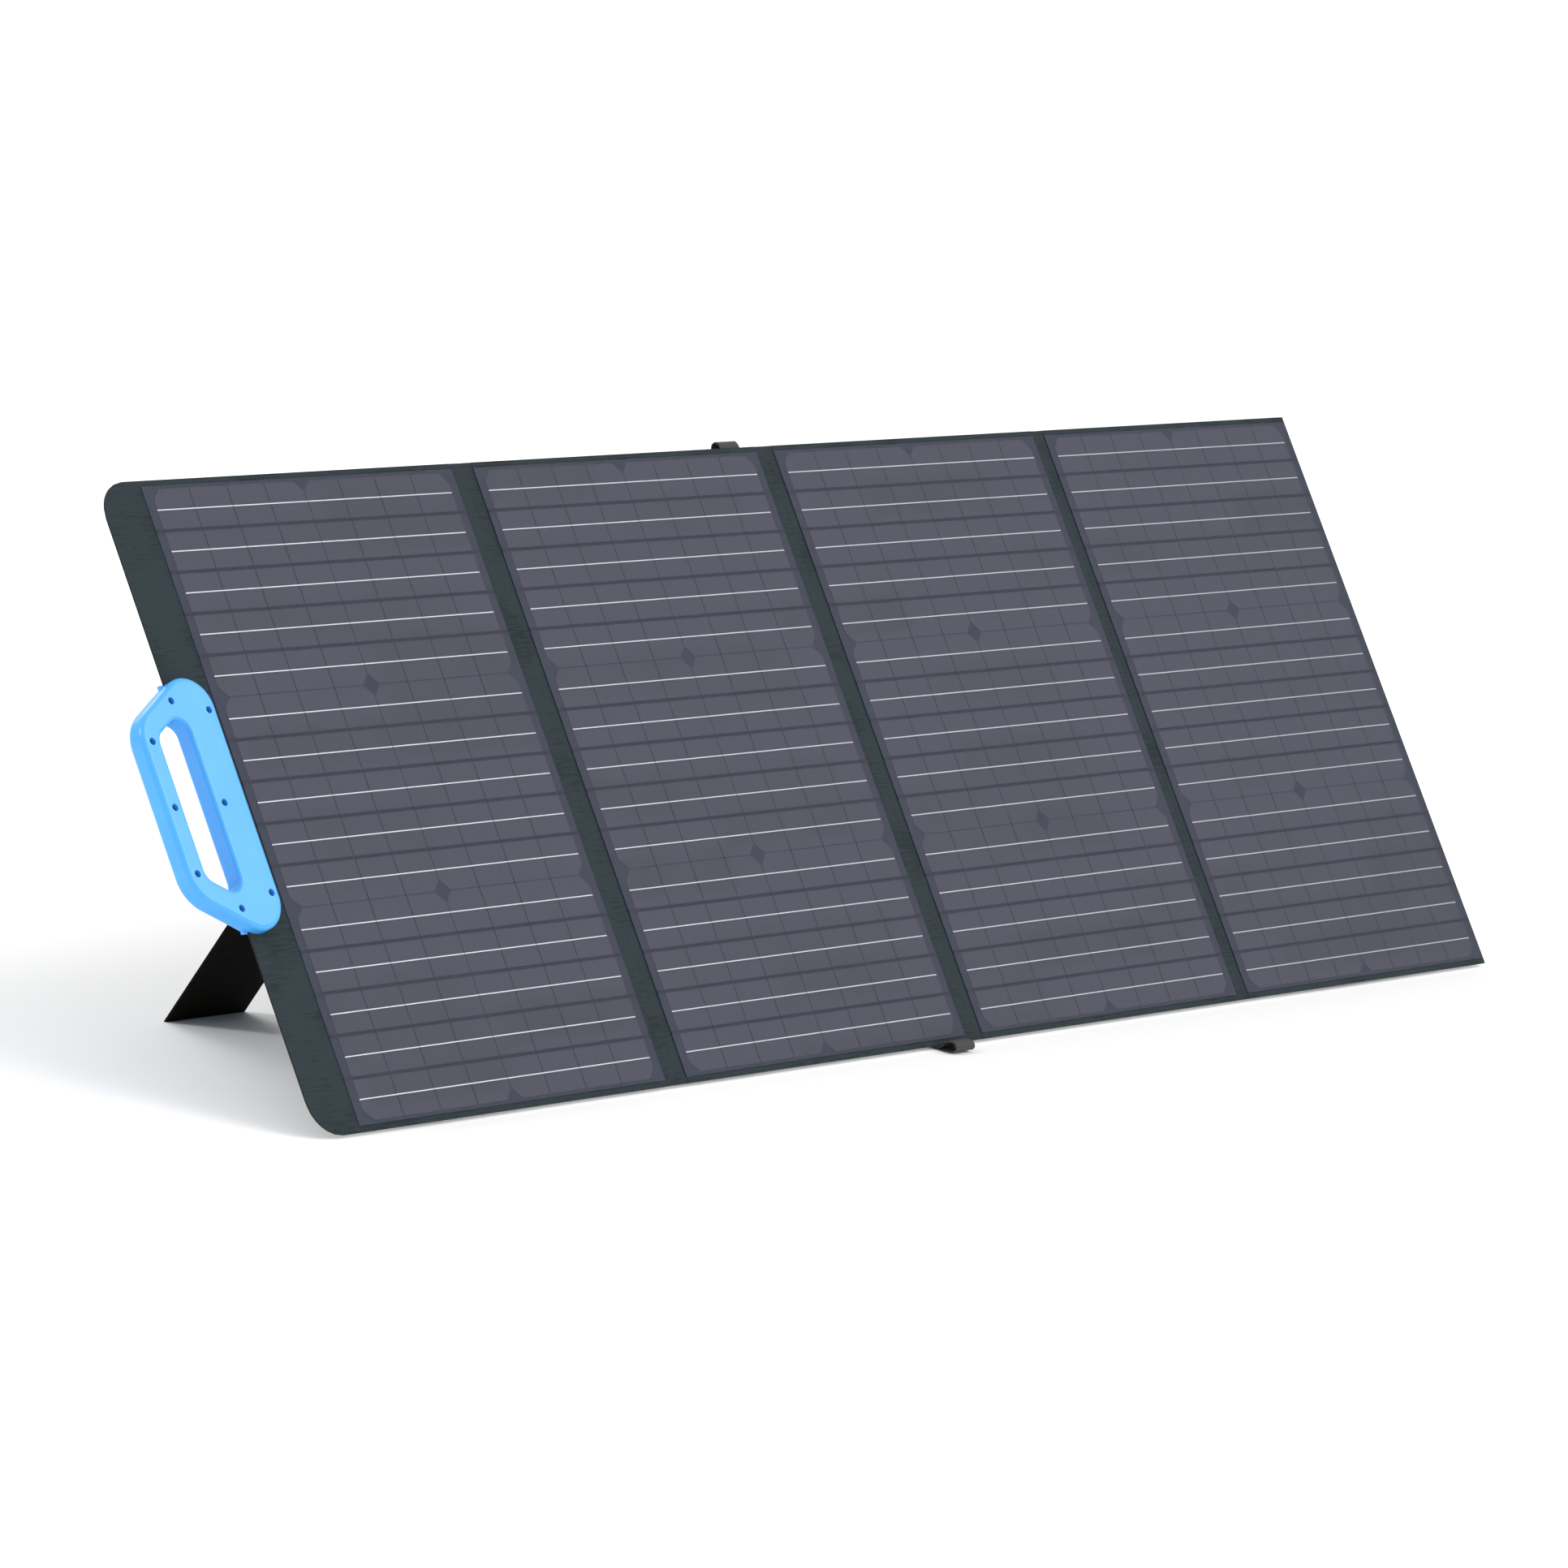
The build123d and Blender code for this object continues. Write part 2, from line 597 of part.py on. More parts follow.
def cable_gland():
    """A domed gland with an open bore, pointing down the sheet."""
    nut_top = -BOX_WALL / 2 - FIT
    nut = extrude(RegularPolygon(GLAND_R, 6), -GLAND_NUT)
    dome = Cylinder(GLAND_DOME_R, GLAND_DOME)
    dome = fillet(dome.edges().sort_by(Axis.Z)[0], GLAND_DOME_EDGE_R)
    gland = Cylinder(GLAND_NECK_R, GLAND_NECK) + Pos(0, 0, nut_top) * nut
    gland += Pos(0, 0, nut_top - GLAND_NUT - GLAND_DOME / 2) * dome
    gland -= Cylinder(GLAND_BORE_R, 4 * GLAND_NECK)
    wall = BOX_UP - BOX_SIZE[1] / 2 + BOX_WALL / 2
    return Pos(BOX_X, wall, BOX_BACK + BOX_DEPTH / 2) * Rot(-90, 0, 0) * gland


def diodes():
    """Blocking diodes on the floor of the box."""
    z = BOX_FRONT - BOX_WALL - DIODE[2] / 2
    spots = [(i - (DIODES - 1) / 2) * DIODE_PITCH for i in range(DIODES)]
    return group(Pos(BOX_X + x, BOX_UP + DIODE[1], z) * Box(*DIODE) for x in spots)


# --- pocket -----------------------------------------------------------------
def pocket():
    """A flat pouch for the lead, sewn to the back."""
    width, height, depth = POCKET_SIZE
    pouch = extrude(RectangleRounded(width, height, POCKET_R), depth)
    pouch = fillet(pouch.faces().sort_by(Axis.Z)[0].edges(), POCKET_EDGE_R)
    return Pos(POCKET_X, POCKET_UP, PANEL_BACK - SKIN_GAP - depth) * pouch


def zip_slider():
    """The pouch's zip slider with its pull, at the closed end."""
    outside = PANEL_BACK - 2 * SKIN_GAP - POCKET_SIZE[2]
    body = Pos(0, 0, -SLIDER[2] / 2) * Box(*SLIDER)
    pull = Pos(0, PULL_OVERLAP - PULL[1] / 2, -SLIDER[2] - PULL[2] / 2) * Box(*PULL)
    slider = fillet((body + pull).edges().filter_by(Axis.Z), SLIDER_EDGE_R)
    up = POCKET_UP + POCKET_SIZE[1] / 2 - ZIP_FROM_TOP
    return Pos(POCKET_X - ZIP_TRAVEL / 2, up, outside) * slider


# --- the whole --------------------------------------------------------------
def all_parts():
    """Every node by name, in the sheet's frame."""
    parts = {}
    strips = wafer_strips()
    for panel in range(PANELS):
        name = f"panel_{panel + 1}"
        parts[f"{name}_front_film"] = laminate_slab(panel, FILM_BACK, 0.0)
        parts[f"{name}_ribbons"] = ribbons(panel)
        parts[f"{name}_cells"] = cells(panel, strips)
        parts[f"{name}_backing_sheet"] = laminate_slab(panel, CLOTH_FRONT, CELL_BACK)
        parts[f"{name}_front_cloth"] = front_cloth(panel)
        parts[f"{name}_stiffener_board"] = laminate_slab(panel, BOARD_BACK, HEM_MIDDLE, BOARD_INSET)
        parts[f"{name}_back_cloth"] = back_cloth(panel)
    for fold in range(PANELS - 1):
        parts[f"fold_cloth_{fold + 1}_{fold + 2}"] = fold_cloth(fold)
    parts["handle_front_shell"] = handle_front_shell()
    parts["handle_back_shell"] = handle_back_shell()
    parts["handle_screws"] = handle_screws()
    for side, panel in (("left", 0), ("right", PANELS - 1)):
        parts[f"{side}_leg_board"] = leg_board(panel)
        parts[f"{side}_leg_hinge_cloth"] = leg_hinge_cloth(panel)
        parts[f"{side}_leg_limit_strap"] = limit_strap(panel)
        parts[f"{side}_leg_snap_socket"] = snap_socket(panel)
        parts[f"{side}_leg_snap_stud"] = snap_stud(panel)
    parts["top_strap_loop"] = top_loop()
    parts["top_strap_tab"] = strap_tab(True)
    parts["top_strap_snap"] = strap_snap(True)
    parts["bottom_strap_loop"] = bottom_loop()
    parts["bottom_strap_tab"] = strap_tab(False)
    parts["bottom_strap_snap"] = strap_snap(False)
    parts["junction_box_base"] = box_base()
    parts["junction_box_lid"] = box_lid()
    parts["junction_box_screws"] = box_screws()
    parts["junction_box_diodes"] = diodes()
    parts["cable_gland"] = cable_gland()
    parts["lead_pocket"] = pocket()
    parts["pocket_zip_slider"] = zip_slider()
    return parts


def stand_up():
    """Lean the sheet back with its hem just off the floor at height zero."""
    return Pos(0, 0, FLOOR_GAP - HEM_BACK * sin(radians(LEAN))) * Rot(90 - LEAN, 0, 0)


def to_origin(shapes):
    """The move that puts the middle of the footprint at the origin."""
    boxes = [shape.bounding_box() for shape in shapes]
    x = (min(b.min.X for b in boxes) + max(b.max.X for b in boxes)) / 2
    y = (min(b.min.Y for b in boxes) + max(b.max.Y for b in boxes)) / 2
    return Pos(-x, -y, 0)


os.makedirs("parts", exist_ok=True)
standing = {node: stand_up() * shape for node, shape in all_parts().items()}
centring = to_origin(standing.values())
for node, shape in standing.items():
    export_step(centring * shape, f"parts/{node}.step")
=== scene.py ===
# %% [markdown]
# # A folding solar panel for camping
# The real object is one cloth sheet with four stiff cell panels sewn into it. It rolls up front to
# front round its cloth folds, is carried by a moulded blue handle, and stands on two board legs.
# The engineering model already holds the parts and their joints, so this script only dresses them:
# plastic, cells and metal keep their shapes and get materials, and everything that is cloth,
# webbing or thread is modelled here, round the shapes that the frame gives.

# %% Load the frame and the tools
import json
import math

import bpy
import numpy as np
from mathutils import Matrix, Vector


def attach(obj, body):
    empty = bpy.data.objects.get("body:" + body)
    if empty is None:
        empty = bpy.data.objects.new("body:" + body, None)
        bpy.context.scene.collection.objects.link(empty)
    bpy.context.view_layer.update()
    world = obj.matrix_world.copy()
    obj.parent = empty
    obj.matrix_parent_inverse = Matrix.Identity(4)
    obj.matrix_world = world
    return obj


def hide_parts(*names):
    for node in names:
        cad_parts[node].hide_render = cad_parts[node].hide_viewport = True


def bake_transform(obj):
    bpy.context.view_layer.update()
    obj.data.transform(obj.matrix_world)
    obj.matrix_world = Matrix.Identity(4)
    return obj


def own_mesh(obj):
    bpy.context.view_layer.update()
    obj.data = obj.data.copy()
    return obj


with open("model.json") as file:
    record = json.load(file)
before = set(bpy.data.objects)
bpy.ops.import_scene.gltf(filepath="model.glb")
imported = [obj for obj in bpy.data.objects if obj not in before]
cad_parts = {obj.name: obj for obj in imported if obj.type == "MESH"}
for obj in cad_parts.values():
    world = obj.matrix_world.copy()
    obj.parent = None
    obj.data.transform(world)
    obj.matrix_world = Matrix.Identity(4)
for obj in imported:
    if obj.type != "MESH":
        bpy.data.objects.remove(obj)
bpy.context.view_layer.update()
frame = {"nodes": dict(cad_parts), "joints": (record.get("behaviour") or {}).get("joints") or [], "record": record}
MM = 0.001

# %% [markdown]
# ## Sheet coordinates
# The sheet leans back, so cloth is easiest to draw in coordinates of its own: x along the sheet,
# up along its slope, and out of its sunny side. The fold joints give the slope. A piece is drawn in
# these coordinates and then turned once, so that its place is in its mesh like that of a CAD part.

# %% Directions of the sheet, and places measured from the frame
JOINTS = {joint["name"]: joint for joint in frame["joints"]}
ALONG = Vector((1.0, 0.0, 0.0))
UP = Vector(JOINTS["fold_1_2"]["axis"]).normalized()
OUT = ALONG.cross(UP)
SHEET_TURN = Matrix((ALONG, UP, OUT)).transposed()
LEAN = math.acos(UP.z)
PANELS = (1, 2, 3, 4)


def span(node, direction):
    """Lowest and highest place of a CAD node along a direction."""
    values = [vertex.co.dot(direction) for vertex in frame["nodes"][node].data.vertices]
    return min(values), max(values)


def box_of(node):
    """Spans of a CAD node along the sheet, up its slope and out of its face."""
    return span(node, ALONG), span(node, UP), span(node, OUT)


def at(x, up, out):
    """A point of the row frame from sheet coordinates."""
    return ALONG * x + UP * up + OUT * out


def joint_place(name):
    """Sheet coordinates of a joint's pivot."""
    place = Vector(JOINTS[name]["pos_m"])
    return place.dot(ALONG), place.dot(UP), place.dot(OUT)


HEM_LOW, HEM_HIGH = span("panel_2_front_cloth", UP)
SHEET_LEFT = span("panel_1_front_cloth", ALONG)[0]
SHEET_RIGHT = span("panel_4_front_cloth", ALONG)[1]
CLOTH_FACE = span("panel_2_front_cloth", OUT)[1]
HEM_MIDDLE = span("panel_2_front_cloth", OUT)[0]
HEM_REAR = span("fold_cloth_1_2", OUT)[0]
PANEL_REAR = span("panel_2_back_cloth", OUT)[0]
CLOTH_THICK = CLOTH_FACE - HEM_MIDDLE
MIDDLE_UP = (HEM_LOW + HEM_HIGH) / 2
BACK = PANEL_REAR - 0.1 * MM  # the face that straps and hinge cloths lie against
CORNER_R = 30 * MM
NOTCH_DEPTH = 4.2 * MM  # the sheet's edge is cut back here, behind the wall of the handle's slot
NOTCH_HALF = 80 * MM
print("sheet:", round(SHEET_RIGHT - SHEET_LEFT, 4), "by", round(HEM_HIGH - HEM_LOW, 4), "m")

# %% [markdown]
# ## Camera
# A long lens far to the handle's side looks slightly down at the sheet. It comes first, because
# every later choice of detail depends on how large a millimetre is in the picture.

# %% Place the camera
CAMERA_PLACE = (-5.2168, -4.0596, 1.4199)
CAMERA_TURN = (79.368, -6.893, -50.603)
LENS_MM = 185.1

camera_data = bpy.data.cameras.new("studio_camera")
camera_data.lens = LENS_MM
camera_data.sensor_width = 36.0
camera_data.clip_end = 200.0
camera = bpy.data.objects.new("studio_camera", camera_data)
camera.location = CAMERA_PLACE
camera.rotation_euler = [math.radians(angle) for angle in CAMERA_TURN]
bpy.context.scene.collection.objects.link(camera)
bpy.context.scene.camera = camera
print("camera:", round((Vector(CAMERA_PLACE)).length, 2), "m away")

# %% [markdown]
# ## Studio
# A pale floor under an even sky and one very soft sun make the near-white surround. The sun stands
# in front, above and to the right, so that the faces turned to the left are the darker ones, and a
# small soft panel of light on the left draws a gleam along the rounded edges of the handle. A wide
# weak panel behind lifts the shadow under the sheet, so that its back can be read.

# %% Floor, sky and lamps
FLOOR_SIZE = 80.0
SKY_STRENGTH = 0.78
SUN_STRENGTH = 1.6
SUN_SOFTNESS = 50.0
SUN_FROM = (0.4, -0.65, 0.65)


def linear(hex_colour, alpha=1.0):
    """An sRGB hex colour as the linear values that Blender shades with."""
    channels = [int(hex_colour[i : i + 2], 16) / 255 for i in (1, 3, 5)]
    lit = [c / 12.92 if c <= 0.04045 else ((c + 0.055) / 1.055) ** 2.4 for c in channels]
    return (*lit, alpha)


def lamp(name, kind, place, aim, **settings):
    """A lamp at a place, turned towards a point, with its own settings."""
    data = bpy.data.lights.new(name, kind)
    for key, value in settings.items():
        setattr(data, key, value)
    light = bpy.data.objects.new(name, data)
    light.location = place
    light.rotation_euler = (Vector(aim) - Vector(place)).to_track_quat("-Z", "Y").to_euler()
    bpy.context.scene.collection.objects.link(light)


bpy.ops.mesh.primitive_plane_add(size=FLOOR_SIZE, location=(0, 0, 0))
floor = bpy.context.object
floor.name = "studio_floor"

sky = bpy.data.worlds.new("studio_sky")
sky.use_nodes = True
sky.node_tree.nodes["Background"].inputs["Color"].default_value = linear("#ffffff")
sky.node_tree.nodes["Background"].inputs["Strength"].default_value = SKY_STRENGTH
bpy.context.scene.world = sky
bpy.context.scene.view_settings.view_transform = "Standard"

softness = math.radians(SUN_SOFTNESS)
lamp("soft_sun", "SUN", SUN_FROM, (0, 0, 0), energy=SUN_STRENGTH, angle=softness)
lamp("edge_panel", "AREA", (-3.0, 1.5, 2.4), (-0.75, 0.0, 0.25), size=0.5, energy=34)
lamp("rear_fill", "AREA", (0.8, 3.4, 2.4), (0, 0, 0.2), size=2.5, energy=45)
print("studio: floor, sky, sun and two panels of light")

# %% [markdown]
# ## Material helpers
# One function adds a node with its settings and links. Patterns are sized from real millimetres:
# with coordinates in metres, a texture's scale is one over the size of its feature.

# %% Add nodes and start materials
SHEET_MAPPING = (-(math.pi / 2 - LEAN), 0.0, 0.0)


def add_node(material, kind, values=None, links=None, **settings):
    """Add a node: values fill its inputs, links join inputs to outputs, settings are its own."""
    tree = material.node_tree
    node = tree.nodes.new(kind)
    for key, value in settings.items():
        setattr(node, key, value)
    for key, value in (values or {}).items():
        node.inputs[key].default_value = value
    for key, source in (links or {}).items():
        tree.links.new(source, node.inputs[key])
    return node


def new_material(name, **values):
    """A material with one Principled shader whose plain inputs are set by name."""
    material = bpy.data.materials.new(name)
    material.use_nodes = True
    shader = material.node_tree.nodes["Principled BSDF"]
    for key, value in values.items():
        shader.inputs[key.replace("_", " ")].default_value = value
    return material, shader


def sheet_place(material):
    """Object coordinates turned so that Y runs up the sheet and Z out of it."""
    place = add_node(material, "ShaderNodeTexCoord").outputs["Object"]
    turned = add_node(
        material, "ShaderNodeMapping", {"Rotation": SHEET_MAPPING}, {"Vector": place}
    )
    return turned.outputs["Vector"]


def stretched(material, place, scale):
    """Coordinates multiplied along each axis, to stretch the texture that reads them."""
    return add_node(
        material, "ShaderNodeMapping", {"Scale": scale}, {"Vector": place}
    ).outputs["Vector"]


def noise(material, place, size_mm, detail=2.0, roughness=0.5):
    """Soft noise with features of about a size in millimetres."""
    values = {"Scale": 1 / (size_mm * MM), "Detail": detail, "Roughness": roughness}
    return add_node(material, "ShaderNodeTexNoise", values, {"Vector": place}).outputs["Fac"]


def combined(material, first, second, operation="ADD"):
    """Two patterns joined by one calculation."""
    links = {0: first, 1: second}
    return add_node(material, "ShaderNodeMath", None, links, operation=operation).outputs[0]


def paint(material, shader, factor, first, second, low=0.35, high=0.65):
    """Colour a shader with two hex colours, mixed by a factor between two values of it."""
    ramp = add_node(material, "ShaderNodeValToRGB", None, {"Fac": factor})
    ramp.color_ramp.elements[0].position = low
    ramp.color_ramp.elements[1].position = high
    ramp.color_ramp.elements[0].color = linear(first)
    ramp.color_ramp.elements[1].color = linear(second)
    material.node_tree.links.new(ramp.outputs["Color"], shader.inputs["Base Color"])


def bump(material, shader, height, depth_mm, strength=1.0):
    """Relief of a real depth from a pattern."""
    values = {"Strength": strength, "Distance": depth_mm * MM}
    relief = add_node(material, "ShaderNodeBump", values, {"Height": height})
    material.node_tree.links.new(relief.outputs["Normal"], shader.inputs["Normal"])


print("material helpers ready")

# %% [markdown]
# ## Laminate materials
# The laminate is a sandwich: a clear fluoropolymer film with a fine embossed dimple, the cells, and
# a dark backing sheet. Seen through the hazy film, everything turns a quiet violet grey. The haze
# is one plain opacity on the film, so the layers below stay real and keep their depth.

# %% Film, cells, ribbons and backing


def etfe_film():
    """Embossed fluoropolymer film: clear, low gloss, faintly milky."""
    material, shader = new_material(
        "etfe_film_embossed", Base_Color=linear("#5a5a68"), Roughness=0.5, IOR=1.4, Alpha=0.06
    )
    dimples = noise(material, sheet_place(material), 1.4, 1.0)
    bump(material, shader, dimples, 0.05, 0.35)
    return material


def silicon_cell():
    """Monocrystalline silicon, acid textured: dark, even, with a trace of difference per strip."""
    material, shader = new_material("silicon_acid_textured", Roughness=0.6, Specular_IOR_Level=0.25)
    place = sheet_place(material)
    strips = stretched(material, place, (1 / (171 * MM), 1 / (34.7 * MM), 0))
    cut = add_node(
        material, "ShaderNodeVectorMath", None, {0: strips}, operation="FLOOR"
    ).outputs["Vector"]
    tone = add_node(material, "ShaderNodeTexWhiteNoise", None, {"Vector": cut}).outputs["Value"]
    cloud = noise(material, place, 60.0, 3.0)
    paint(material, shader, combined(material, tone, cloud), "#3b3d48", "#414350", 0.3, 1.6)
    return material


def tinned_ribbon():
    """Copper ribbon dipped in solder: a bright, slightly uneven metal."""
    material, shader = new_material(
        "copper_ribbon_tinned", Base_Color=linear("#b8b8be"), Metallic=1.0, Roughness=0.32
    )
    bump(material, shader, noise(material, sheet_place(material), 2.5), 0.05, 0.5)
    return material


def dark_layer(name, cloud_mm, detail, first, second):
    """A dark, matt layer of the laminate, with a faint cloud in its colour."""
    material, shader = new_material(name, Roughness=0.6, Specular_IOR_Level=0.25)
    cloud = noise(material, sheet_place(material), cloud_mm, detail)
    paint(material, shader, cloud, first, second)
    return material


FILM = etfe_film()
CELL = silicon_cell()
RIBBON = tinned_ribbon()
BACKING = dark_layer("glass_fibre_backing_black", 25.0, 3.0, "#292e40", "#2c3143")
TAPE = dark_layer("polyester_strip_black", 30.0, 2.0, "#1d2030", "#212434")
print("laminate materials:", [m.name for m in (FILM, CELL, RIBBON, BACKING, TAPE)])

# %% [markdown]
# ## Cloth, webbing and thread
# The cover is a coated polyester oxford cloth, dark green grey with a bluish cast where its coating
# is thicker. The weave reads the piece's own map, laid out in real metres, so that it follows the
# cloth when a fold bends. Threads 0.6 mm apart are too fine to show, so they are drawn 1.4 mm apart.

# %% Cover cloth, cut edge in painted shade, webbing and thread


WAVES_PER_SCALE = math.pi / 10  # a wave texture of scale 1 repeats at this distance
THREAD_SPACING = 1.4  # in millimetres


def own_map(material):
    """The piece's own map, in metres."""
    return add_node(material, "ShaderNodeUVMap", uv_map="cloth_map").outputs["UV"]


def threads(material, place, spacing_mm, direction):
    """Parallel threads a real distance apart."""
    values = {"Scale": WAVES_PER_SCALE / (spacing_mm * MM), "Distortion": 0.4}
    return add_node(
        material,
        "ShaderNodeTexWave",
        values,
        {"Vector": place},
        bands_direction=direction,
    ).outputs["Fac"]


def oxford_cloth(name, first, second, place_of=own_map, sheen=0.02):
    """Coated woven polyester, with slubs along one thread direction."""
    material, shader = new_material(
        name, Roughness=0.85, Sheen_Weight=sheen, Sheen_Roughness=0.5, Specular_IOR_Level=0.12
    )
    place = place_of(material)
    slubs = noise(material, stretched(material, place, (0.08, 1.0, 1.0)), 1.6, 3.0)
    cloud = noise(material, place, 55.0, 3.0)
    paint(material, shader, combined(material, slubs, cloud), first, second, 0.75, 1.25)
    warp = threads(material, place, THREAD_SPACING, "X")
    weft = threads(material, place, THREAD_SPACING, "Y")
    weave = combined(material, warp, weft, "MULTIPLY")
    bump(material, shader, combined(material, weave, slubs), 0.12, 0.6)
    return material


def plain_cloth(name, colour, roughness=0.85):
    """A dark edge or lining, where weave is too fine to see; on cut edges its darkness is painted shade."""
    material, shader = new_material(name, Roughness=roughness)
    cloud = noise(material, sheet_place(material), 4.0, 2.0)
    paint(material, shader, cloud, colour, colour)
    bump(material, shader, cloud, 0.1, 0.4)
    return material


def webbing_weave():
    """Polypropylene webbing: ribs across a flat band, grey, with painted shade darkening the grooves between the
    ribs.
    """
    material, shader = new_material("polypropylene_webbing_woven", Roughness=0.8, Sheen_Weight=0.04)
    place = own_map(material)
    ribs = threads(material, place, 2.2, "X")
    rows = threads(material, place, 1.5, "Y")
    weave = combined(material, ribs, rows, "MULTIPLY")
    # The colour follows the relief: painted shade makes the grooves darker than the raised ribs.
    paint(material, shader, weave, "#2f2f2e", "#484846", 0.0, 0.8)
    bump(material, shader, weave, 0.25, 0.8)
    return material


def sewing_thread():
    """Bonded polyester thread, a shade darker than the cloth."""
    material, shader = new_material("polyester_thread_bonded", Roughness=0.6)
    fuzz = noise(material, add_node(material, "ShaderNodeTexCoord").outputs["Object"], 0.8)
    paint(material, shader, fuzz, "#1f2729", "#293234")
    return material


CLOTH = oxford_cloth("polyester_oxford_coated", "#222b2d", "#2d363a")
# Painted shade: the cloth's cut edges are coloured near black, as if their side faces lay in shadow.
CLOTH_EDGE_SHADE = plain_cloth("cloth_edge_painted_shade", "#0c0f10")
WEBBING = webbing_weave()
THREAD = sewing_thread()
print("cloth materials:", [m.name for m in (CLOTH, CLOTH_EDGE_SHADE, WEBBING, THREAD)])

# %% [markdown]
# ## Plastic, board and metal
# The handle is injection-moulded ABS in sky blue, satin from a lightly etched mould. The boxes are
# black glass-filled nylon with a coarser spark-eroded texture. The legs are stiff board in a
# near-black coated cloth. Fittings are gun-metal plated steel.

# %% Moulded, covered and plated finishes


def moulded(name, first, second, roughness, grain_mm, depth_mm, place_of=sheet_place):
    """Injection-moulded plastic with a mould grain and slight unevenness of colour."""
    material, shader = new_material(name, Roughness=roughness, IOR=1.5)
    place = place_of(material)
    cloud = noise(material, place, 40.0, 3.0)
    paint(material, shader, cloud, first, second)
    bump(material, shader, noise(material, place, grain_mm, 2.0), depth_mm, 0.4)
    return material


def plated(name, colour, roughness):
    """Plated steel, with the fine pitting of barrel finishing."""
    material, shader = new_material(
        name, Base_Color=linear(colour), Metallic=1.0, Roughness=roughness
    )
    bump(material, shader, noise(material, sheet_place(material), 0.9), 0.03, 0.4)
    return material


HANDLE = moulded("abs_sky_blue_moulded", "#46a6f0", "#4aaaf5", 0.27, 0.7, 0.02)
SCREW_DARK = moulded("steel_screw_blue_lacquer", "#1b5583", "#20608f", 0.4, 0.5, 0.02)
BOX = moulded("nylon_black_spark_eroded", "#17181a", "#1d1e20", 0.55, 0.6, 0.06)
GLAND = moulded("nylon_gland_black_moulded", "#121315", "#191a1c", 0.4, 0.5, 0.03)
BOARD = moulded("polypropylene_board_extruded", "#b9b79c", "#c6c4aa", 0.6, 2.0, 0.05)
DIODE = moulded("epoxy_diode_cast", "#101010", "#161616", 0.3, 0.4, 0.01)
LEG = oxford_cloth("polyester_leg_cover_coated", "#070907", "#0d0f08", sheet_place, 0.0)
SNAP = plated("steel_snap_gunmetal", "#3b3d42", 0.35)
ZINC = plated("steel_screw_zinc_plated", "#b4b6ba", 0.3)
SLIDER = plated("zinc_slider_gunmetal_cast", "#45474c", 0.4)
print("finishes:", [m.name for m in (HANDLE, BOX, LEG, SNAP, ZINC)])

# %% Dress the CAD nodes that keep their shape


def dress(piece, *materials):
    """Give a piece its materials, in the order of its slots."""
    piece.data.materials.clear()
    for material in materials:
        piece.data.materials.append(material)
    return piece


FINISH_OF_SLOT = {
    "clear_film": FILM,
    "tinned_ribbon": RIBBON,
    "silicon_cell": CELL,
    "backing_sheet": BACKING,
    "stiffener_board": BOARD,
    "cover_cloth": CLOTH_EDGE_SHADE,
    "handle_plastic": HANDLE,
    "handle_screw": SCREW_DARK,
    "leg_board": LEG,
    "snap_metal": SNAP,
    "webbing": CLOTH_EDGE_SHADE,
    "box_screw": ZINC,
    "diode": DIODE,
    "box_plastic": BOX,
    "gland_plastic": GLAND,
    "zip_metal": SLIDER,
}
for part in frame["record"]["subparts"]:
    dress(frame["nodes"][part["node"]], FINISH_OF_SLOT[part["material_slot"]])

floor_material, _ = new_material(
    "studio_paper_white", Base_Color=linear("#fafafa"), Roughness=0.9
)
dress(floor, floor_material)

# %% [markdown]
# ## Tools for modelling
# Hard trim starts as a primitive at its size and place and is shaped in edit mode. What repeats is
# modelled once, and its copies are gathered in one piece, each copy with its own vertices.

# %% Blocks, balls and copies


def deselect():
    """Leave edit mode and clear the selection, because operators act on all that is selected."""
    if bpy.context.object and bpy.context.object.mode == "EDIT":
        bpy.ops.object.mode_set(mode="OBJECT")
    bpy.ops.object.select_all(action="DESELECT")


def choose(piece):
    """Select one piece alone and make it the active one."""
    deselect()
    bpy.context.view_layer.objects.active = piece
    piece.select_set(True)


def apply_modifier(piece, kind, **settings):
    """Add a modifier with its settings and apply it at once."""
    choose(piece)
    modifier = piece.modifiers.new(kind.lower(), kind)
    for key, value in settings.items():
        setattr(modifier, key, value)
    bpy.ops.object.modifier_apply(modifier=modifier.name)


def new_piece(name, points, faces):
    """A piece in the scene from its points and faces."""
    mesh = bpy.data.meshes.new(name)
    mesh.from_pydata(points, [], faces)
    piece = bpy.data.objects.new(name, mesh)
    bpy.context.scene.collection.objects.link(piece)
    return piece


def block(name, low, high, round_by, segments=2):
    """A box between two corners in sheet coordinates, its edges rounded in edit mode."""
    deselect()
    low, high = Vector(low), Vector(high)
    bpy.ops.mesh.primitive_cube_add(size=1, location=(low + high) / 2, calc_uvs=False)
    piece = bpy.context.object
    piece.name = name
    piece.scale = high - low
    bpy.ops.object.transform_apply(location=True, rotation=True, scale=True)
    bpy.ops.object.mode_set(mode="EDIT")
    bpy.ops.mesh.select_all(action="SELECT")
    bpy.ops.mesh.bevel(offset=round_by, segments=segments, affect="EDGES")
    bpy.ops.object.mode_set(mode="OBJECT")
    return piece


def ball(size):
    """A small ball stretched to a size, for a dab or a stitch."""
    deselect()
    bpy.ops.mesh.primitive_ico_sphere_add(subdivisions=1, radius=0.5)
    model = bpy.context.object
    model.scale = size
    bpy.ops.object.transform_apply(scale=True)
    return model


def gather(name, model, turns):
    """One piece from copies of a model, each moved by its own matrix; the model is removed."""
    corners = np.array([vertex.co for vertex in model.data.vertices])
    faces = [list(face.vertices) for face in model.data.polygons]
    points, polygons = [], []
    for index, turn in enumerate(turns):
        turn = np.array(turn.to_4x4())
        points.append(corners @ turn[:3, :3].T + turn[:3, 3])
        polygons += [[v + index * len(corners) for v in face] for face in faces]
    bpy.data.objects.remove(model)
    return new_piece(name, np.concatenate(points).tolist(), polygons)


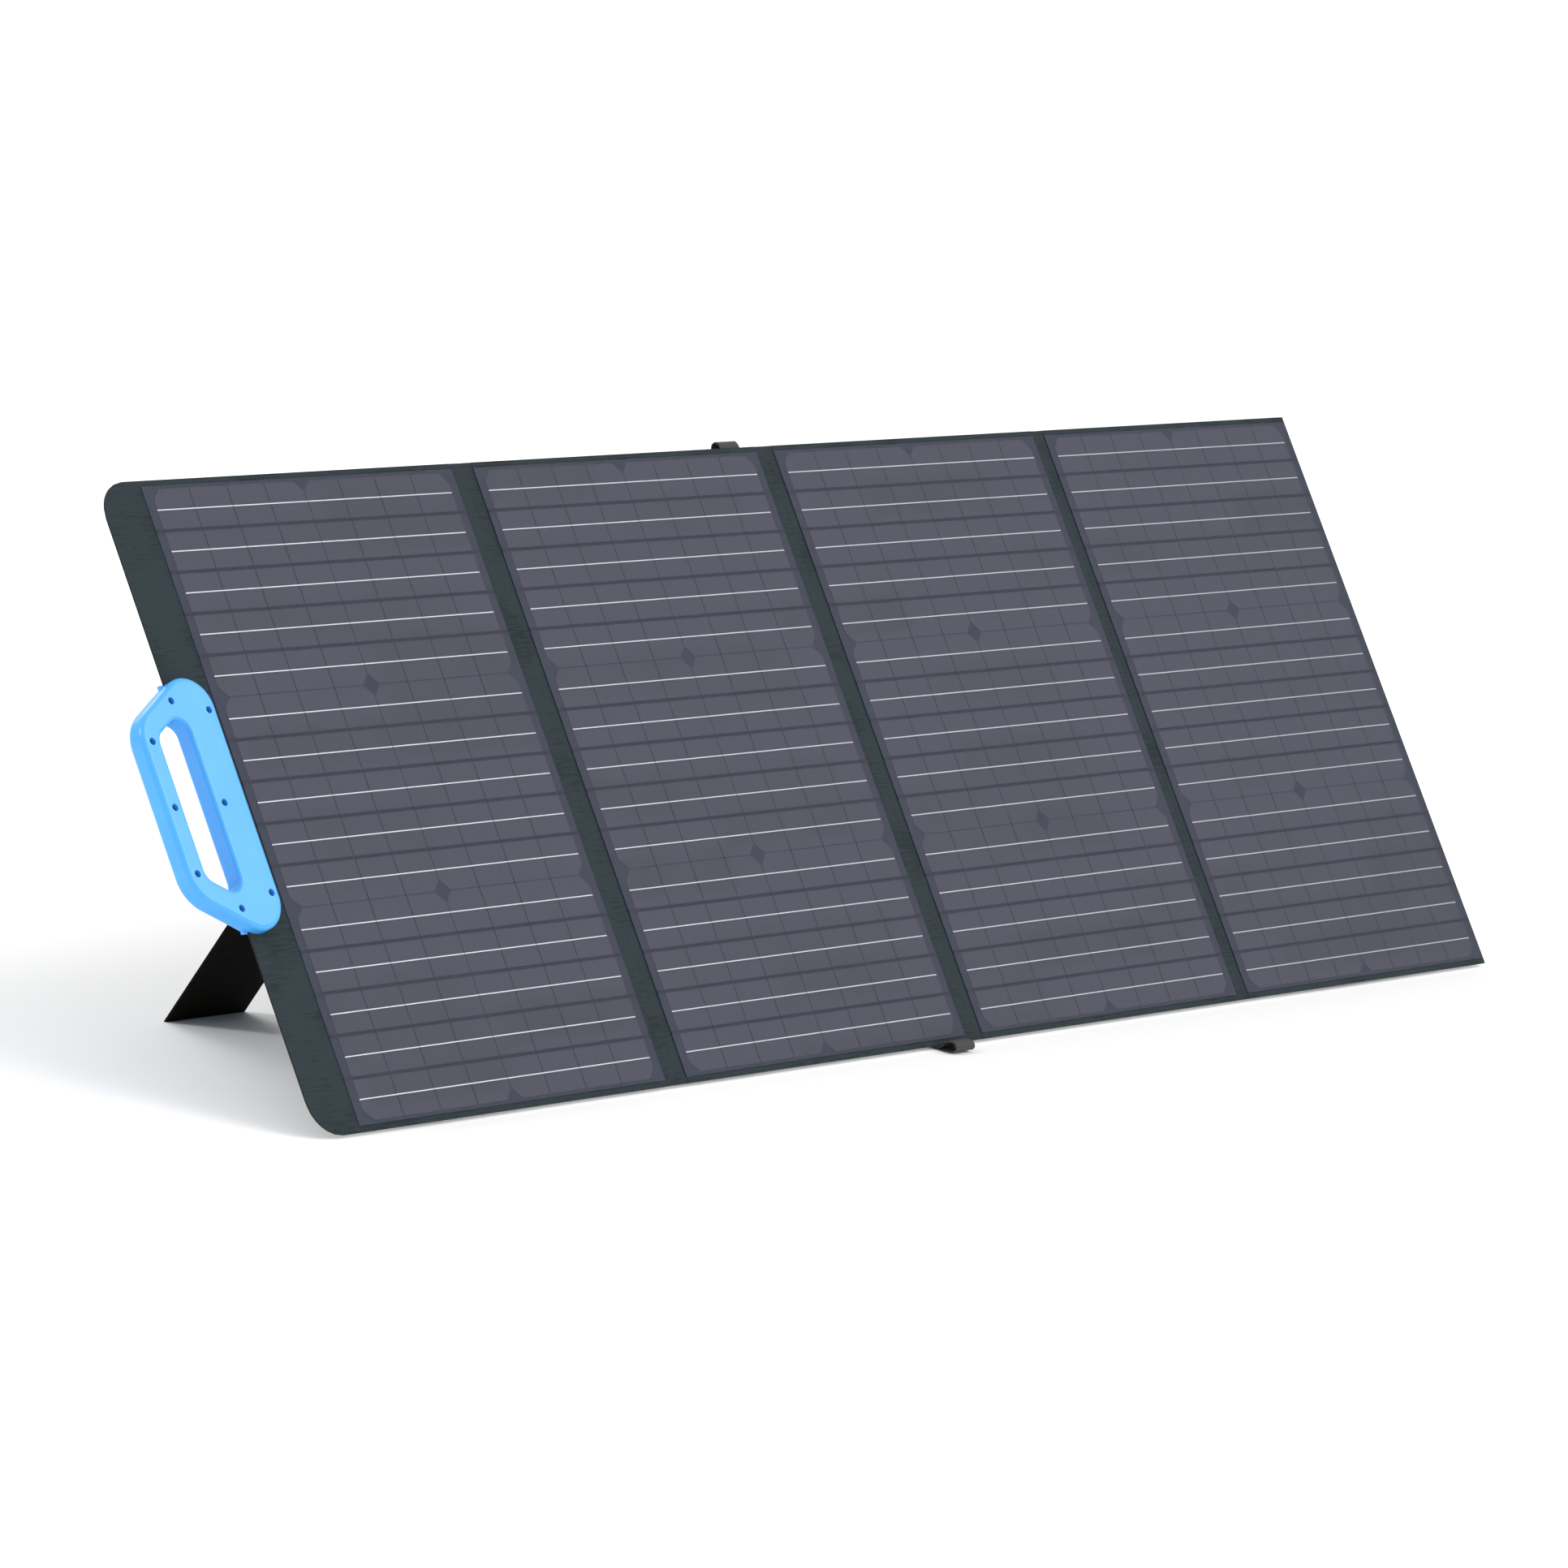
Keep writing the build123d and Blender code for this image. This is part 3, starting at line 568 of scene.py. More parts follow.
def stand_up(piece):
    """Turn a piece from sheet coordinates into the row frame."""
    piece.data.transform(SHEET_TURN.to_4x4())
    piece.data.update()
    return piece


def smooth(piece, angle=40):
    """Shade smoothly, apart from edges sharper than an angle."""
    choose(piece)
    bpy.ops.object.shade_smooth_by_angle(angle=math.radians(angle))
    return piece


def place_piece(piece, body, slot, *materials):
    """Stand a hard piece up, dress it and let it ride on a body."""
    stand_up(piece)
    dress(piece, *materials)
    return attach(piece, body)


print("modelling tools ready")

# %% [markdown]
# ## Marks inside the laminate
# Between the cell strips lie black insulating strips, right across the laminate. Fine scribe lines
# cross the cells, and small solder dabs hold both ends of every ribbon. They are modelled as thin
# solids between film and cells, because a picture on the cells would blur from close by.

# %% Insulating strips, scribe lines and solder dabs
STRIP_LAP = 0.5 * MM  # a strip laps this far over the cells on both sides of its gap
STRIP_THICK = 0.06 * MM
STRIP_GAP = (1.8 * MM, 2.2 * MM)  # a gap this wide lies between two strips of cells
SCRIBE_WIDTH = 1.2 * MM
SCRIBE_THICK = 0.04 * MM
SCRIBE_PARTS = 8
DAB_SIZE = Vector((0.9, 1.5, 0.09)) * MM


def levels(node, direction):
    """All the places along a direction where a node has corners, in order."""
    values = {round(v.co.dot(direction), 5) for v in frame["nodes"][node].data.vertices}
    return sorted(values)


def strip_gaps(panel):
    """Lower and upper edges of the gaps between a panel's cell strips."""
    ups = levels(f"panel_{panel}_cells", UP)
    return [(a, b) for a, b in zip(ups, ups[1:]) if STRIP_GAP[0] < b - a < STRIP_GAP[1]]


def insulating_strips(panel):
    """Black strips that cover the gaps between cell strips, as wide as the laminate."""
    left, right = span(f"panel_{panel}_front_film", ALONG)
    face = span(f"panel_{panel}_cells", OUT)[1]
    gaps = strip_gaps(panel)
    low, high = gaps[0]
    edge = 0.2 * MM
    start = (left + edge, low - STRIP_LAP, face)
    end = (right - edge, high + STRIP_LAP, face + STRIP_THICK)
    model = block("strip", start, end, 0.015 * MM, 1)
    turns = [Matrix.Translation((0, gap[0] - low, 0)) for gap in gaps]
    return gather(f"panel_{panel}_insulating_strips", model, turns)


def scribe_lines(panel):
    """Fine lines across the cells, at every eighth of the field apart from its middle."""
    left, right = span(f"panel_{panel}_cells", ALONG)
    low, high = span(f"panel_{panel}_cells", UP)
    face = span(f"panel_{panel}_cells", OUT)[1]
    half = SCRIBE_WIDTH / 2
    model = block("line", (-half, low, face), (half, high, face + SCRIBE_THICK), 0.01 * MM, 1)
    eighths = [i for i in range(1, SCRIBE_PARTS) if i != SCRIBE_PARTS // 2]
    turns = [
        Matrix.Translation((left + (right - left) * i / SCRIBE_PARTS, 0, 0)) for i in eighths
    ]
    return gather(f"panel_{panel}_scribe_lines", model, turns)


def solder_dabs(panel):
    """A flattened dab of solder at each end of each ribbon."""
    node = f"panel_{panel}_ribbons"
    rows = levels(node, UP)
    middles = [(low + high) / 2 for low, high in zip(rows[::2], rows[1::2])]
    rear = span(node, OUT)[0]
    places = [(x, up, rear + DAB_SIZE.z / 2) for x in levels(node, ALONG) for up in middles]
    turns = [Matrix.Translation(place) for place in places]
    return gather(f"panel_{panel}_solder_dabs", ball(DAB_SIZE), turns)


for panel in PANELS:
    body = f"panel_{panel}"
    place_piece(insulating_strips(panel), body, "backing_sheet", TAPE)
    place_piece(scribe_lines(panel), body, "backing_sheet", TAPE)
    dabs = place_piece(solder_dabs(panel), body, "tinned_ribbon", RIBBON)
    print(body, "strips", len(strip_gaps(panel)), "dabs", len(dabs.data.polygons) // 20)

# %% [markdown]
# ## Cover cloth
# The cover is two layers sewn round the edge, with a board between them in every panel. The front
# layer lies flat under the laminate. The rear layer rises over the board and is drawn down to the
# hem. Each panel's cloth rides on its panel. The cloth of a fold lies between two panels.
# A grid is laid out with close lines where the cloth steps, shaped by a height, and thickened.

# %% Grids of cloth


def between(stops, step):
    """Places from the first stop to the last: every stop, and evenly between them."""
    places = [stops[0]]
    for low, high in zip(stops, stops[1:]):
        count = max(1, round((high - low) / step))
        places += [low + (high - low) * (i + 1) / count for i in range(count)]
    return places


def trim_left_edge(x, up):
    """Cut the sheet's left edge back inside the handle, and draw its corners in to an arc."""
    if abs(up - MIDDLE_UP) < NOTCH_HALF:
        x = max(x, SHEET_LEFT + NOTCH_DEPTH)
    for hem, side in ((HEM_LOW, 1), (HEM_HIGH, -1)):
        centre_x, centre_up = SHEET_LEFT + CORNER_R, hem + side * CORNER_R
        across, away = (centre_x - x) / CORNER_R, (centre_up - up) * side / CORNER_R
        if across > 0 and away > 0:
            pull = max(across, away) / math.hypot(across, away)
            return centre_x - across * pull * CORNER_R, centre_up - side * away * pull * CORNER_R
    return x, up


def thicken(piece):
    """Give a cloth its thickness on both sides, with its cut edge in the second material, whose dark colour is
    painted shade.
    """
    rim = {"use_even_offset": True, "material_offset_rim": 1}
    apply_modifier(piece, "SOLIDIFY", thickness=CLOTH_THICK, offset=0.0, **rim)


def map_flat(piece):
    """Lay the piece's own map out in metres along and up the sheet."""
    cloth_map = piece.data.uv_layers.new(name="cloth_map")
    corners = piece.data.vertices
    for loop, spot in zip(piece.data.loops, cloth_map.data):
        spot.uv = corners[loop.vertex_index].co.xy
    return piece


def cloth(name, xs, ups, height, left_edge=False):
    """A cloth of one thickness over a grid, with its middle at a height for each place."""
    deselect()
    bpy.ops.mesh.primitive_grid_add(
        x_subdivisions=len(xs) - 1, y_subdivisions=len(ups) - 1, size=1
    )
    piece = bpy.context.object
    piece.name = name
    for index, vertex in enumerate(piece.data.vertices):
        x, up = xs[index % len(xs)], ups[index // len(xs)]
        out = height(x, up)
        if left_edge:
            x, up = trim_left_edge(x, up)
        vertex.co = x, up, out
    dress(piece, CLOTH, CLOTH_EDGE_SHADE)
    thicken(piece)
    return smooth(map_flat(piece), 50)


def ease(t):
    """A smooth step from 0 to 1."""
    t = min(1.0, max(0.0, t))
    return t * t * (3 - 2 * t)


print("cloth tools ready")

# %% Front and rear cloth of each panel
BOARD_STEP = 2.4 * MM  # the rear cloth rises over this distance, just outside the board's edge
BOARD_CLEAR = 2.6 * MM
RIPPLE = 0.3 * MM
GRID_STEP = 9 * MM
FINE_LINES = (-2.6, -1.9, -1.2, -0.5, 0.2, 3.0, 7.0, 12.0)  # millimetres inside a board's edge


def rear_height(panel):
    """Height of the rear cloth's middle: down at the hem, raised over the board."""
    left, right = span(f"panel_{panel}_stiffener_board", ALONG)
    low, high = span(f"panel_{panel}_stiffener_board", UP)
    hem, raised = (HEM_MIDDLE + HEM_REAR) / 2, PANEL_REAR + CLOTH_THICK / 2

    def height(x, up):
        inside = min(x - left, right - x, up - low, high - up) + BOARD_CLEAR
        ripple = RIPPLE * (1 - math.sin(x / (9 * MM)) * math.sin(up / (11 * MM))) / 2
        fade = math.exp(-abs(inside - BOARD_STEP) / (8 * MM)) * ease(inside / BOARD_STEP)
        return hem + (raised - hem) * ease(inside / BOARD_STEP) + ripple * fade

    return height


def panel_ticks(panel, low, high, direction):
    """Grid lines for a panel's cloth: close together round the edge of its board."""
    board = span(f"panel_{panel}_stiffener_board", direction)
    stops = [low]
    for edge, side in ((board[0], 1), (board[1], -1)):
        steps = [edge + side * distance * MM for distance in FINE_LINES]
        stops += steps if side == 1 else steps[::-1]
    stops.append(high)
    return between([s for s in sorted(stops) if low <= s <= high], GRID_STEP)


for panel in PANELS:
    body = f"panel_{panel}"
    left, right = span(f"{body}_front_cloth", ALONG)
    xs = panel_ticks(panel, left, right, ALONG)
    ups = panel_ticks(panel, HEM_LOW, HEM_HIGH, UP)
    middle = (CLOTH_FACE + HEM_MIDDLE) / 2
    front = cloth(f"{body}_front_fabric", xs, ups, lambda x, up: middle, panel == 1)
    rear = cloth(f"{body}_rear_fabric", xs, ups, rear_height(panel), panel == 1)
    for piece, node in ((front, "front_cloth"), (rear, "back_cloth")):
        stand_up(piece)
        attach(piece, body)
        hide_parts(f"{body}_{node}")
    print(body, "cloth", round(right - left, 4), "m wide,", len(rear.data.polygons), "faces")

# %% Cloth of the folds, between two panels
FOLD_COLUMNS = 24
FOLD_CREASE = 0.25 * MM
CREASE_HALF = 2.5 * MM


def fold_fabric(fold):
    """Both cloth layers between two laminates, sewn flat, with a faint crease down the middle."""
    node = f"fold_cloth_{fold}_{fold + 1}"
    left, right = span(node, ALONG)
    middle_x, middle_out = (left + right) / 2, (CLOTH_FACE + HEM_REAR) / 2
    xs = between([left, right], (right - left) / FOLD_COLUMNS)
    ups = between([HEM_LOW, HEM_HIGH], GRID_STEP)

    def height(x, up):
        return middle_out - FOLD_CREASE * math.exp(-(((x - middle_x) / CREASE_HALF) ** 2))

    piece = cloth(f"fold_{fold}_{fold + 1}_fabric", xs, ups, height)
    return piece, node, left, right


def bend_fold(piece):
    """Bake a fold's piece into its place in the row frame."""
    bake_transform(piece)


for fold in PANELS[:-1]:
    piece, node, left, right = fold_fabric(fold)
    stand_up(piece)
    bend_fold(piece)
    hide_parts(node)
    print("fold", fold, round(right - left, 4), "m of cloth")

# %% [markdown]
# ## Bands
# Straps, hinge cloths and limit straps are flat bands. A band follows a smooth line through a few
# given points in the plane of up and out, and its map runs along it, so that the ribs of the
# webbing lie square across it.

# %% Bands along a route


def smooth_route(points):
    """Evenly sampled places on a smooth line guided by a few (up, out) points."""
    curve = bpy.data.curves.new("route", "CURVE")
    curve.dimensions = "3D"
    curve.resolution_u = 10
    line = curve.splines.new("NURBS")
    line.points.add(len(points) - 1)
    for point, (up, out) in zip(line.points, points):
        point.co = 0.0, up, out, 1.0
    line.order_u = 3
    line.use_endpoint_u = True
    guide = bpy.data.objects.new("route", curve)
    mesh = bpy.data.meshes.new_from_object(guide)
    places = [(vertex.co.y, vertex.co.z) for vertex in mesh.vertices]
    bpy.data.objects.remove(guide)
    bpy.data.meshes.remove(mesh)
    return places


def band_section(width, thickness):
    """Outline of a band's end: flat faces, rounded edges and slightly thicker selvedges."""
    half, thick = width / 2, thickness / 2
    upper = [(-half, 0.0), (-half + 0.25 * thick, 0.7 * thick), (-half + 0.9 * thick, thick)]
    upper += [(-half + 3.0 * thick, 0.86 * thick), (0.0, 0.86 * thick)]
    upper += [(-x, y) for x, y in upper[-2:0:-1]]
    return upper + [(-x, -y) for x, y in upper]


def face_outwards(piece):
    """Turn every face of a closed piece outwards."""
    choose(piece)
    bpy.ops.object.mode_set(mode="EDIT")
    bpy.ops.mesh.select_all(action="SELECT")
    bpy.ops.mesh.normals_make_consistent(inside=False)
    bpy.ops.object.mode_set(mode="OBJECT")


def band(name, places, width, thickness, middle_x, *materials):
    """A flat band along places in (up, out), with its map in metres along and across it."""
    section = band_section(width, thickness)
    points, lengths = [], [0.0]
    for index, (up, out) in enumerate(places):
        before, after = places[max(index - 1, 0)], places[min(index + 1, len(places) - 1)]
        heading = Vector((after[0] - before[0], after[1] - before[1])).normalized()
        if index:
            lengths.append(lengths[-1] + math.dist(places[index], places[index - 1]))
        for x, lift in section:
            points.append((middle_x + x, up - heading.y * lift, out + heading.x * lift))
    count, faces = len(section), []
    for ring in range(len(places) - 1):
        for side in range(count):
            near, far = ring * count, (ring + 1) * count
            turn = (side + 1) % count
            faces.append((near + side, near + turn, far + turn, far + side))
    faces.append(tuple(range(count))[::-1])
    faces.append(tuple(range((len(places) - 1) * count, len(places) * count)))
    piece = new_piece(name, points, faces)
    cloth_map = piece.data.uv_layers.new(name="cloth_map")
    for loop, spot in zip(piece.data.loops, cloth_map.data):
        ring, side = divmod(loop.vertex_index, count)
        spot.uv = lengths[ring], section[side][0]
    face_outwards(piece)
    dress(piece, *materials)
    return smooth(piece, 50)


print("band tools ready")

# %% Closing straps: a loop on the hem, and a flap with a snap
STRAP_WIDTH = 25 * MM
STRAP_THICK = 1.2 * MM
FLAP_BEND = 8 * MM  # the flap bends over this far to both sides of its pivot


def top_strap_route(pivot_up, pivot_out):
    """From its seam up the back, in a loop over the hem, and down again to the flap's end."""
    on_cloth = BACK - STRAP_THICK / 2
    return [
        (HEM_HIGH - 60 * MM, on_cloth),
        (HEM_HIGH - 10 * MM, on_cloth),
        (HEM_HIGH + 8.2 * MM, HEM_REAR - 1.6 * MM),
        (HEM_HIGH + 8.4 * MM, HEM_REAR - 12 * MM),
        (HEM_HIGH - 12 * MM, pivot_out - 9 * MM),
        (pivot_up, pivot_out),
        (HEM_HIGH - 84 * MM, pivot_out),
    ]


def over_floor(forward, height):
    """(up, out) of a place given forward of the lower hem and above the floor."""
    hem = at(0, HEM_LOW, HEM_REAR)
    place = Vector((0, hem.y - forward, height))
    return place.dot(UP), place.dot(OUT)


def bottom_strap_route(pivot_up, pivot_out):
    """From its seam under the hem, in a flat loop on the floor in front, and back to the flap."""
    on_cloth = BACK - STRAP_THICK / 2
    low, high = STRAP_THICK / 2, 1.6 * STRAP_THICK
    return [
        (HEM_LOW + 60 * MM, on_cloth),
        (HEM_LOW + 12 * MM, on_cloth - 0.4 * MM),
        over_floor(-7 * MM, high),
        over_floor(5 * MM, high),
        over_floor(8 * MM, 9 * MM),
        over_floor(20.5 * MM, 10 * MM),
        over_floor(21.5 * MM, low),
        over_floor(-16 * MM, low),
        (HEM_LOW + 22 * MM, pivot_out - 3 * MM),
        (pivot_up, pivot_out),
        (HEM_LOW + 84 * MM, pivot_out),
    ]


def closing_strap(side, route_of):
    """A strap's sewn loop, riding on the sheet, and its flap, baked in place."""
    x, pivot_up, pivot_out = joint_place(f"{side}_strap_swing")
    places = smooth_route(route_of(pivot_up, pivot_out))
    end_up = places[-1][0]
    reach = abs(pivot_up - end_up) + FLAP_BEND
    split = max(i for i, place in enumerate(places) if abs(place[0] - end_up) > reach)
    size = (STRAP_WIDTH, STRAP_THICK, x, WEBBING)
    loop = stand_up(band(f"{side}_strap_webbing", places[: split + 1], *size))
    flap = stand_up(band(f"{side}_strap_flap", places[split:], *size))
    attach(loop, "panel_2")
    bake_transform(flap)
    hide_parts(f"{side}_strap_loop")
    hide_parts(f"{side}_strap_tab")
    print(side, "strap:", len(places), "places, split at", split)


closing_strap("top", top_strap_route)
closing_strap("bottom", bottom_strap_route)

# %% [markdown]
# ## Legs
# Each leg is a stiff board in coated cloth. A strip of cloth sewn to the back of the sheet and to
# the leg is its hinge, and a strap between sheet and leg goes tight when the leg is open. Both are
# drawn in the open pose, which is the pose at rest. The hinge cloth is baked in place between the
# panel and the leg; the strap has no shape of its own once it is slack, and it rides on its panel.

# %% Hinge cloths and limit straps
LEG_WIDTH = 92 * MM
LEG_HALF_THICK = 1.0 * MM
HINGE_CLOTH_UP = 18.5 * MM
HINGE_CLOTH_DOWN = 24 * MM
LIMIT_WIDTH = 20 * MM
LIMIT_THICK = 0.9 * MM
LIMIT_REACH = 150 * MM
LIMIT_TAB = 14 * MM


def leg_place(side, reach, lift):
    """(up, out) of a place on an open leg: down from its hinge, and off its outer face's side."""
    _, up, out = joint_place(f"{side}_leg_fold")
    angle = math.radians(JOINTS[f"{side}_leg_fold"]["range_deg"][1])
    down = (-math.cos(angle), -math.sin(angle))
    outer = (math.sin(angle), -math.cos(angle))
    return up + reach * down[0] + lift * outer[0], out + reach * down[1] + lift * outer[1]


def hinge_cloth(side):
    """Cloth from the back of the sheet, over the hinge line, to the leg's outer face."""
    x, up, _ = joint_place(f"{side}_leg_fold")
    on_sheet = BACK - CLOTH_THICK / 2
    lift = LEG_HALF_THICK + 0.1 * MM + CLOTH_THICK / 2
    points = [
        (up + HINGE_CLOTH_UP, on_sheet),
        (up + 9 * MM, on_sheet),
        (up + 3 * MM, on_sheet - 0.1 * MM),
        leg_place(side, 2 * MM, lift + 0.3 * MM),
        leg_place(side, 8 * MM, lift),
        leg_place(side, 16 * MM, lift),
        leg_place(side, HINGE_CLOTH_DOWN, lift),
    ]
    places = smooth_route(points)
    name = f"{side}_leg_hinge_fabric"
    piece = stand_up(band(name, places, LEG_WIDTH - 2 * MM, CLOTH_THICK, x, CLOTH, CLOTH_EDGE_SHADE))
    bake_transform(piece)
    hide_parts(f"{side}_leg_hinge_cloth")
    length = sum(math.dist(a, b) for a, b in zip(places, places[1:]))
    return length


def limit_strap(side, panel):
    """Webbing from the back of the sheet to the leg's inner face, tight while the leg is open."""
    x, up, _ = joint_place(f"{side}_leg_fold")
    on_sheet = BACK - LIMIT_THICK / 2
    lift = -LEG_HALF_THICK - LIMIT_THICK / 2
    points = [
        (up - LIMIT_REACH - LIMIT_TAB, on_sheet),
        (up - LIMIT_REACH - 3 * MM, on_sheet),
        (up - LIMIT_REACH + 2 * MM, on_sheet - 1.5 * MM),
        leg_place(side, LIMIT_REACH - 3 * MM, lift - 1.5 * MM),
        leg_place(side, LIMIT_REACH + 3 * MM, lift),
        leg_place(side, LIMIT_REACH + LIMIT_TAB, lift),
    ]
    places = smooth_route(points)
    name = f"{side}_leg_limit_webbing"
    piece = stand_up(band(name, places, LIMIT_WIDTH, LIMIT_THICK, x, WEBBING))
    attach(piece, panel)
    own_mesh(piece)
    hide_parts(f"{side}_leg_limit_strap")


LEGS = (("left", "panel_1"), ("right", "panel_4"))
for side, panel in LEGS:
    length = hinge_cloth(side)
    limit_strap(side, panel)
    print(side, "leg hinge cloth", round(length, 4), "m long")

# %% [markdown]
# ## Stitching
# A sewn seam reads as a row of small beads that are pulled down at both ends. One stitch is made
# from a small ball, stretched to 3 mm, and its copies are set along each seam 4.5 mm apart.

# %% Sew rows of stitches
STITCH_SIZE = Vector((3.1, 0.6, 0.5)) * MM
STITCH_PITCH = 4.5 * MM
HEM_SEAM = 2.6 * MM  # from the edge of the sheet


def stitch_turns(points, normal):
    """A matrix for each stitch along straight runs through points, lying against a face."""
    turns = []
    normal = Vector(normal).normalized()
    for start, end in zip(points, points[1:]):
        start, end = Vector(start), Vector(end)
        run = end - start
        heading = run.normalized()
        across = normal.cross(heading)
        turn = Matrix((heading, across, normal)).transposed().to_4x4()
        count = max(1, round(run.length / STITCH_PITCH))
        for index in range(count):
            middle = start + run * ((index + 0.5) / count)
            turns.append(Matrix.Translation(middle) @ turn)
    return turns


def sew(name, turns, thread=THREAD):
    """One piece of stitching from many stitches."""
    piece = stand_up(gather(name, ball(STITCH_SIZE), turns))
    dress(piece, thread)
    return smooth(piece, 80)


def rows_across(left, right, ups):
    """Front and rear rows along x at several heights up the sheet."""
    turns = []
    for up in ups:
        turns += stitch_turns([(left, up, CLOTH_FACE), (right, up, CLOTH_FACE)], (0, 0, 1))
        turns += stitch_turns([(left, up, HEM_REAR), (right, up, HEM_REAR)], (0, 0, -1))
    return turns


def arc(centre_x, centre_up, radius, first, last, out):
    """Points on an arc from one angle to another, in degrees."""
    steps = 8
    angles = [math.radians(first + (last - first) * i / steps) for i in range(steps + 1)]
    return [(centre_x + radius * math.cos(a), centre_up + radius * math.sin(a), out) for a in angles]


def left_end_rows():
    """Rows round the rounded corners and down the left edge, clear of the handle."""
    radius = CORNER_R - HEM_SEAM
    handle_low, handle_high = span("handle_front_shell", UP)
    turns = []
    for out, facing in ((CLOTH_FACE, 1), (HEM_REAR, -1)):
        for hem, side, edge in ((HEM_LOW, 1, handle_low), (HEM_HIGH, -1, handle_high)):
            middle = hem + side * CORNER_R
            points = arc(SHEET_LEFT + CORNER_R, middle, radius, 180, 180 + side * 90, out)
            points.insert(0, (SHEET_LEFT + HEM_SEAM, edge, out))
            turns += stitch_turns(points, (0, 0, facing))
    return turns


def rear_columns(left, right):
    """Rear rows up both sides of a panel's board."""
    turns = []
    for x in (left, right):
        points = [(x, HEM_LOW + HEM_SEAM, HEM_REAR), (x, HEM_HIGH - HEM_SEAM, HEM_REAR)]
        turns += stitch_turns(points, (0, 0, -1))
    return turns


SEAM_UPS = (HEM_LOW + HEM_SEAM, HEM_HIGH - HEM_SEAM)
for panel in PANELS:
    left, right = span(f"panel_{panel}_front_cloth", ALONG)
    board_left, board_right = span(f"panel_{panel}_stiffener_board", ALONG)
    row_left = left + CORNER_R if panel == 1 else left
    turns = rows_across(row_left, right, SEAM_UPS)
    turns += rear_columns(board_left - HEM_SEAM, board_right + HEM_SEAM)
    if panel == 1:
        turns += left_end_rows()
    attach(sew(f"panel_{panel}_hem_stitching", turns), f"panel_{panel}")
for fold in PANELS[:-1]:
    left, right = span(f"fold_cloth_{fold}_{fold + 1}", ALONG)
    seam = sew(f"fold_{fold}_{fold + 1}_hem_stitching", rows_across(left, right, SEAM_UPS))
    bend_fold(seam)

# %% Stitching on legs and straps
LEG_SEAM = 5 * MM


def on_leg(side, across, reach, lift):
    """A point on an open leg, in sheet coordinates."""
    x = joint_place(f"{side}_leg_fold")[0]
    return (x + across, *leg_place(side, reach, lift))


def leg_slope(side):
    """How far an open leg leans from upright."""
    return math.radians(JOINTS[f"{side}_leg_fold"]["range_deg"][1]) - LEAN


def leg_seams(side):
    """Rows round both faces of a leg, just inside its edge."""
    length = span(f"{side}_leg_board", Vector((0, 0, 1)))[1] / math.cos(leg_slope(side))
    half, top, foot = LEG_WIDTH / 2 - LEG_SEAM, LEG_SEAM + 3 * MM, length - LEG_SEAM
    turns = []
    for face in (1, -1):
        corners = [(-half, top), (-half, foot), (half, foot), (half, top), (-half, top)]
        points = [on_leg(side, x, reach, face * LEG_HALF_THICK) for x, reach in corners]
        zero, away = on_leg(side, 0, 0, 0), on_leg(side, 0, 0, face)
        turns += stitch_turns(points, Vector(away) - Vector(zero))
    return turns


def cross_seam(x, half, near, far, face):
    """A cross between two short rows, as at the sewn end of a strap."""
    corners = [(-half, near), (half, far), (half, near), (-half, far), (-half, near)]
    return stitch_turns([(x + across, up, face) for across, up in corners], (0, 0, -1))


for side, panel in LEGS:
    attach(sew(f"{side}_leg_stitching", leg_seams(side), CLOTH_EDGE_SHADE), f"{side}_leg")
    x, up, _ = joint_place(f"{side}_leg_fold")
    half, out = LEG_WIDTH / 2 - 3 * MM, BACK - CLOTH_THICK
    turns = []
    for rise in (8 * MM, 15 * MM):
        turns += stitch_turns([(x - half, up + rise, out), (x + half, up + rise, out)], (0, 0, -1))
    low = up - LIMIT_REACH - LIMIT_TAB + 2 * MM
    tack, face = LIMIT_WIDTH / 2 - 2 * MM, BACK - LIMIT_THICK
    turns += cross_seam(x, tack, low, low + 8 * MM, face)
    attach(sew(f"{side}_leg_hinge_stitching", turns), panel)

for side, hem, down in (("top", HEM_HIGH, -1), ("bottom", HEM_LOW, 1)):
    x = joint_place(f"{side}_strap_swing")[0]
    half, face = STRAP_WIDTH / 2 - 3 * MM, BACK - STRAP_THICK
    turns = cross_seam(x, half, hem + down * 24 * MM, hem + down * 57 * MM, face)
    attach(sew(f"{side}_strap_stitching", turns), "panel_2")
print("legs and straps sewn")

# %% [markdown]
# ## Lead pocket
# The pouch for the lead is sewn to the back. It is a little stuffed, so it is blown up with a cloth
# simulation from a flatter block: the face against the sheet is pinned, and how far a point may
# move is capped. The zip's tape keeps the cloth flat round it, and a tube of piping hides the seam.

# %% The pouch
POUCH_CORNER = 18 * MM
POUCH_START = 6 * MM
POUCH_CAP = 8 * MM
POUCH_INSET = 1 * MM
POUCH_STEPS = 20
POUCH_EASE = 14 * MM  # the cloth flattens over this distance beside the zip and its ends
VOXEL = 5 * MM
ZIP_HALF = 9 * MM
TAPE_THICK = 0.7 * MM
TOOTH = Vector((1.1, 2.0, 0.9)) * MM
TOOTH_PITCH = 1.7 * MM

POCKET_X, POCKET_UP, POCKET_OUT = box_of("lead_pocket")
SLIDER_X, SLIDER_UP, SLIDER_OUT = box_of("pocket_zip_slider")
ZIP_UP = SLIDER_UP[1] - 3.5 * MM
ZIP_FACE = SLIDER_OUT[1] + TOOTH.z * 0.6
ZIP_TRAVEL = JOINTS["zip_slide"]["range_m"][1]
ZIP_START = sum(SLIDER_X) / 2


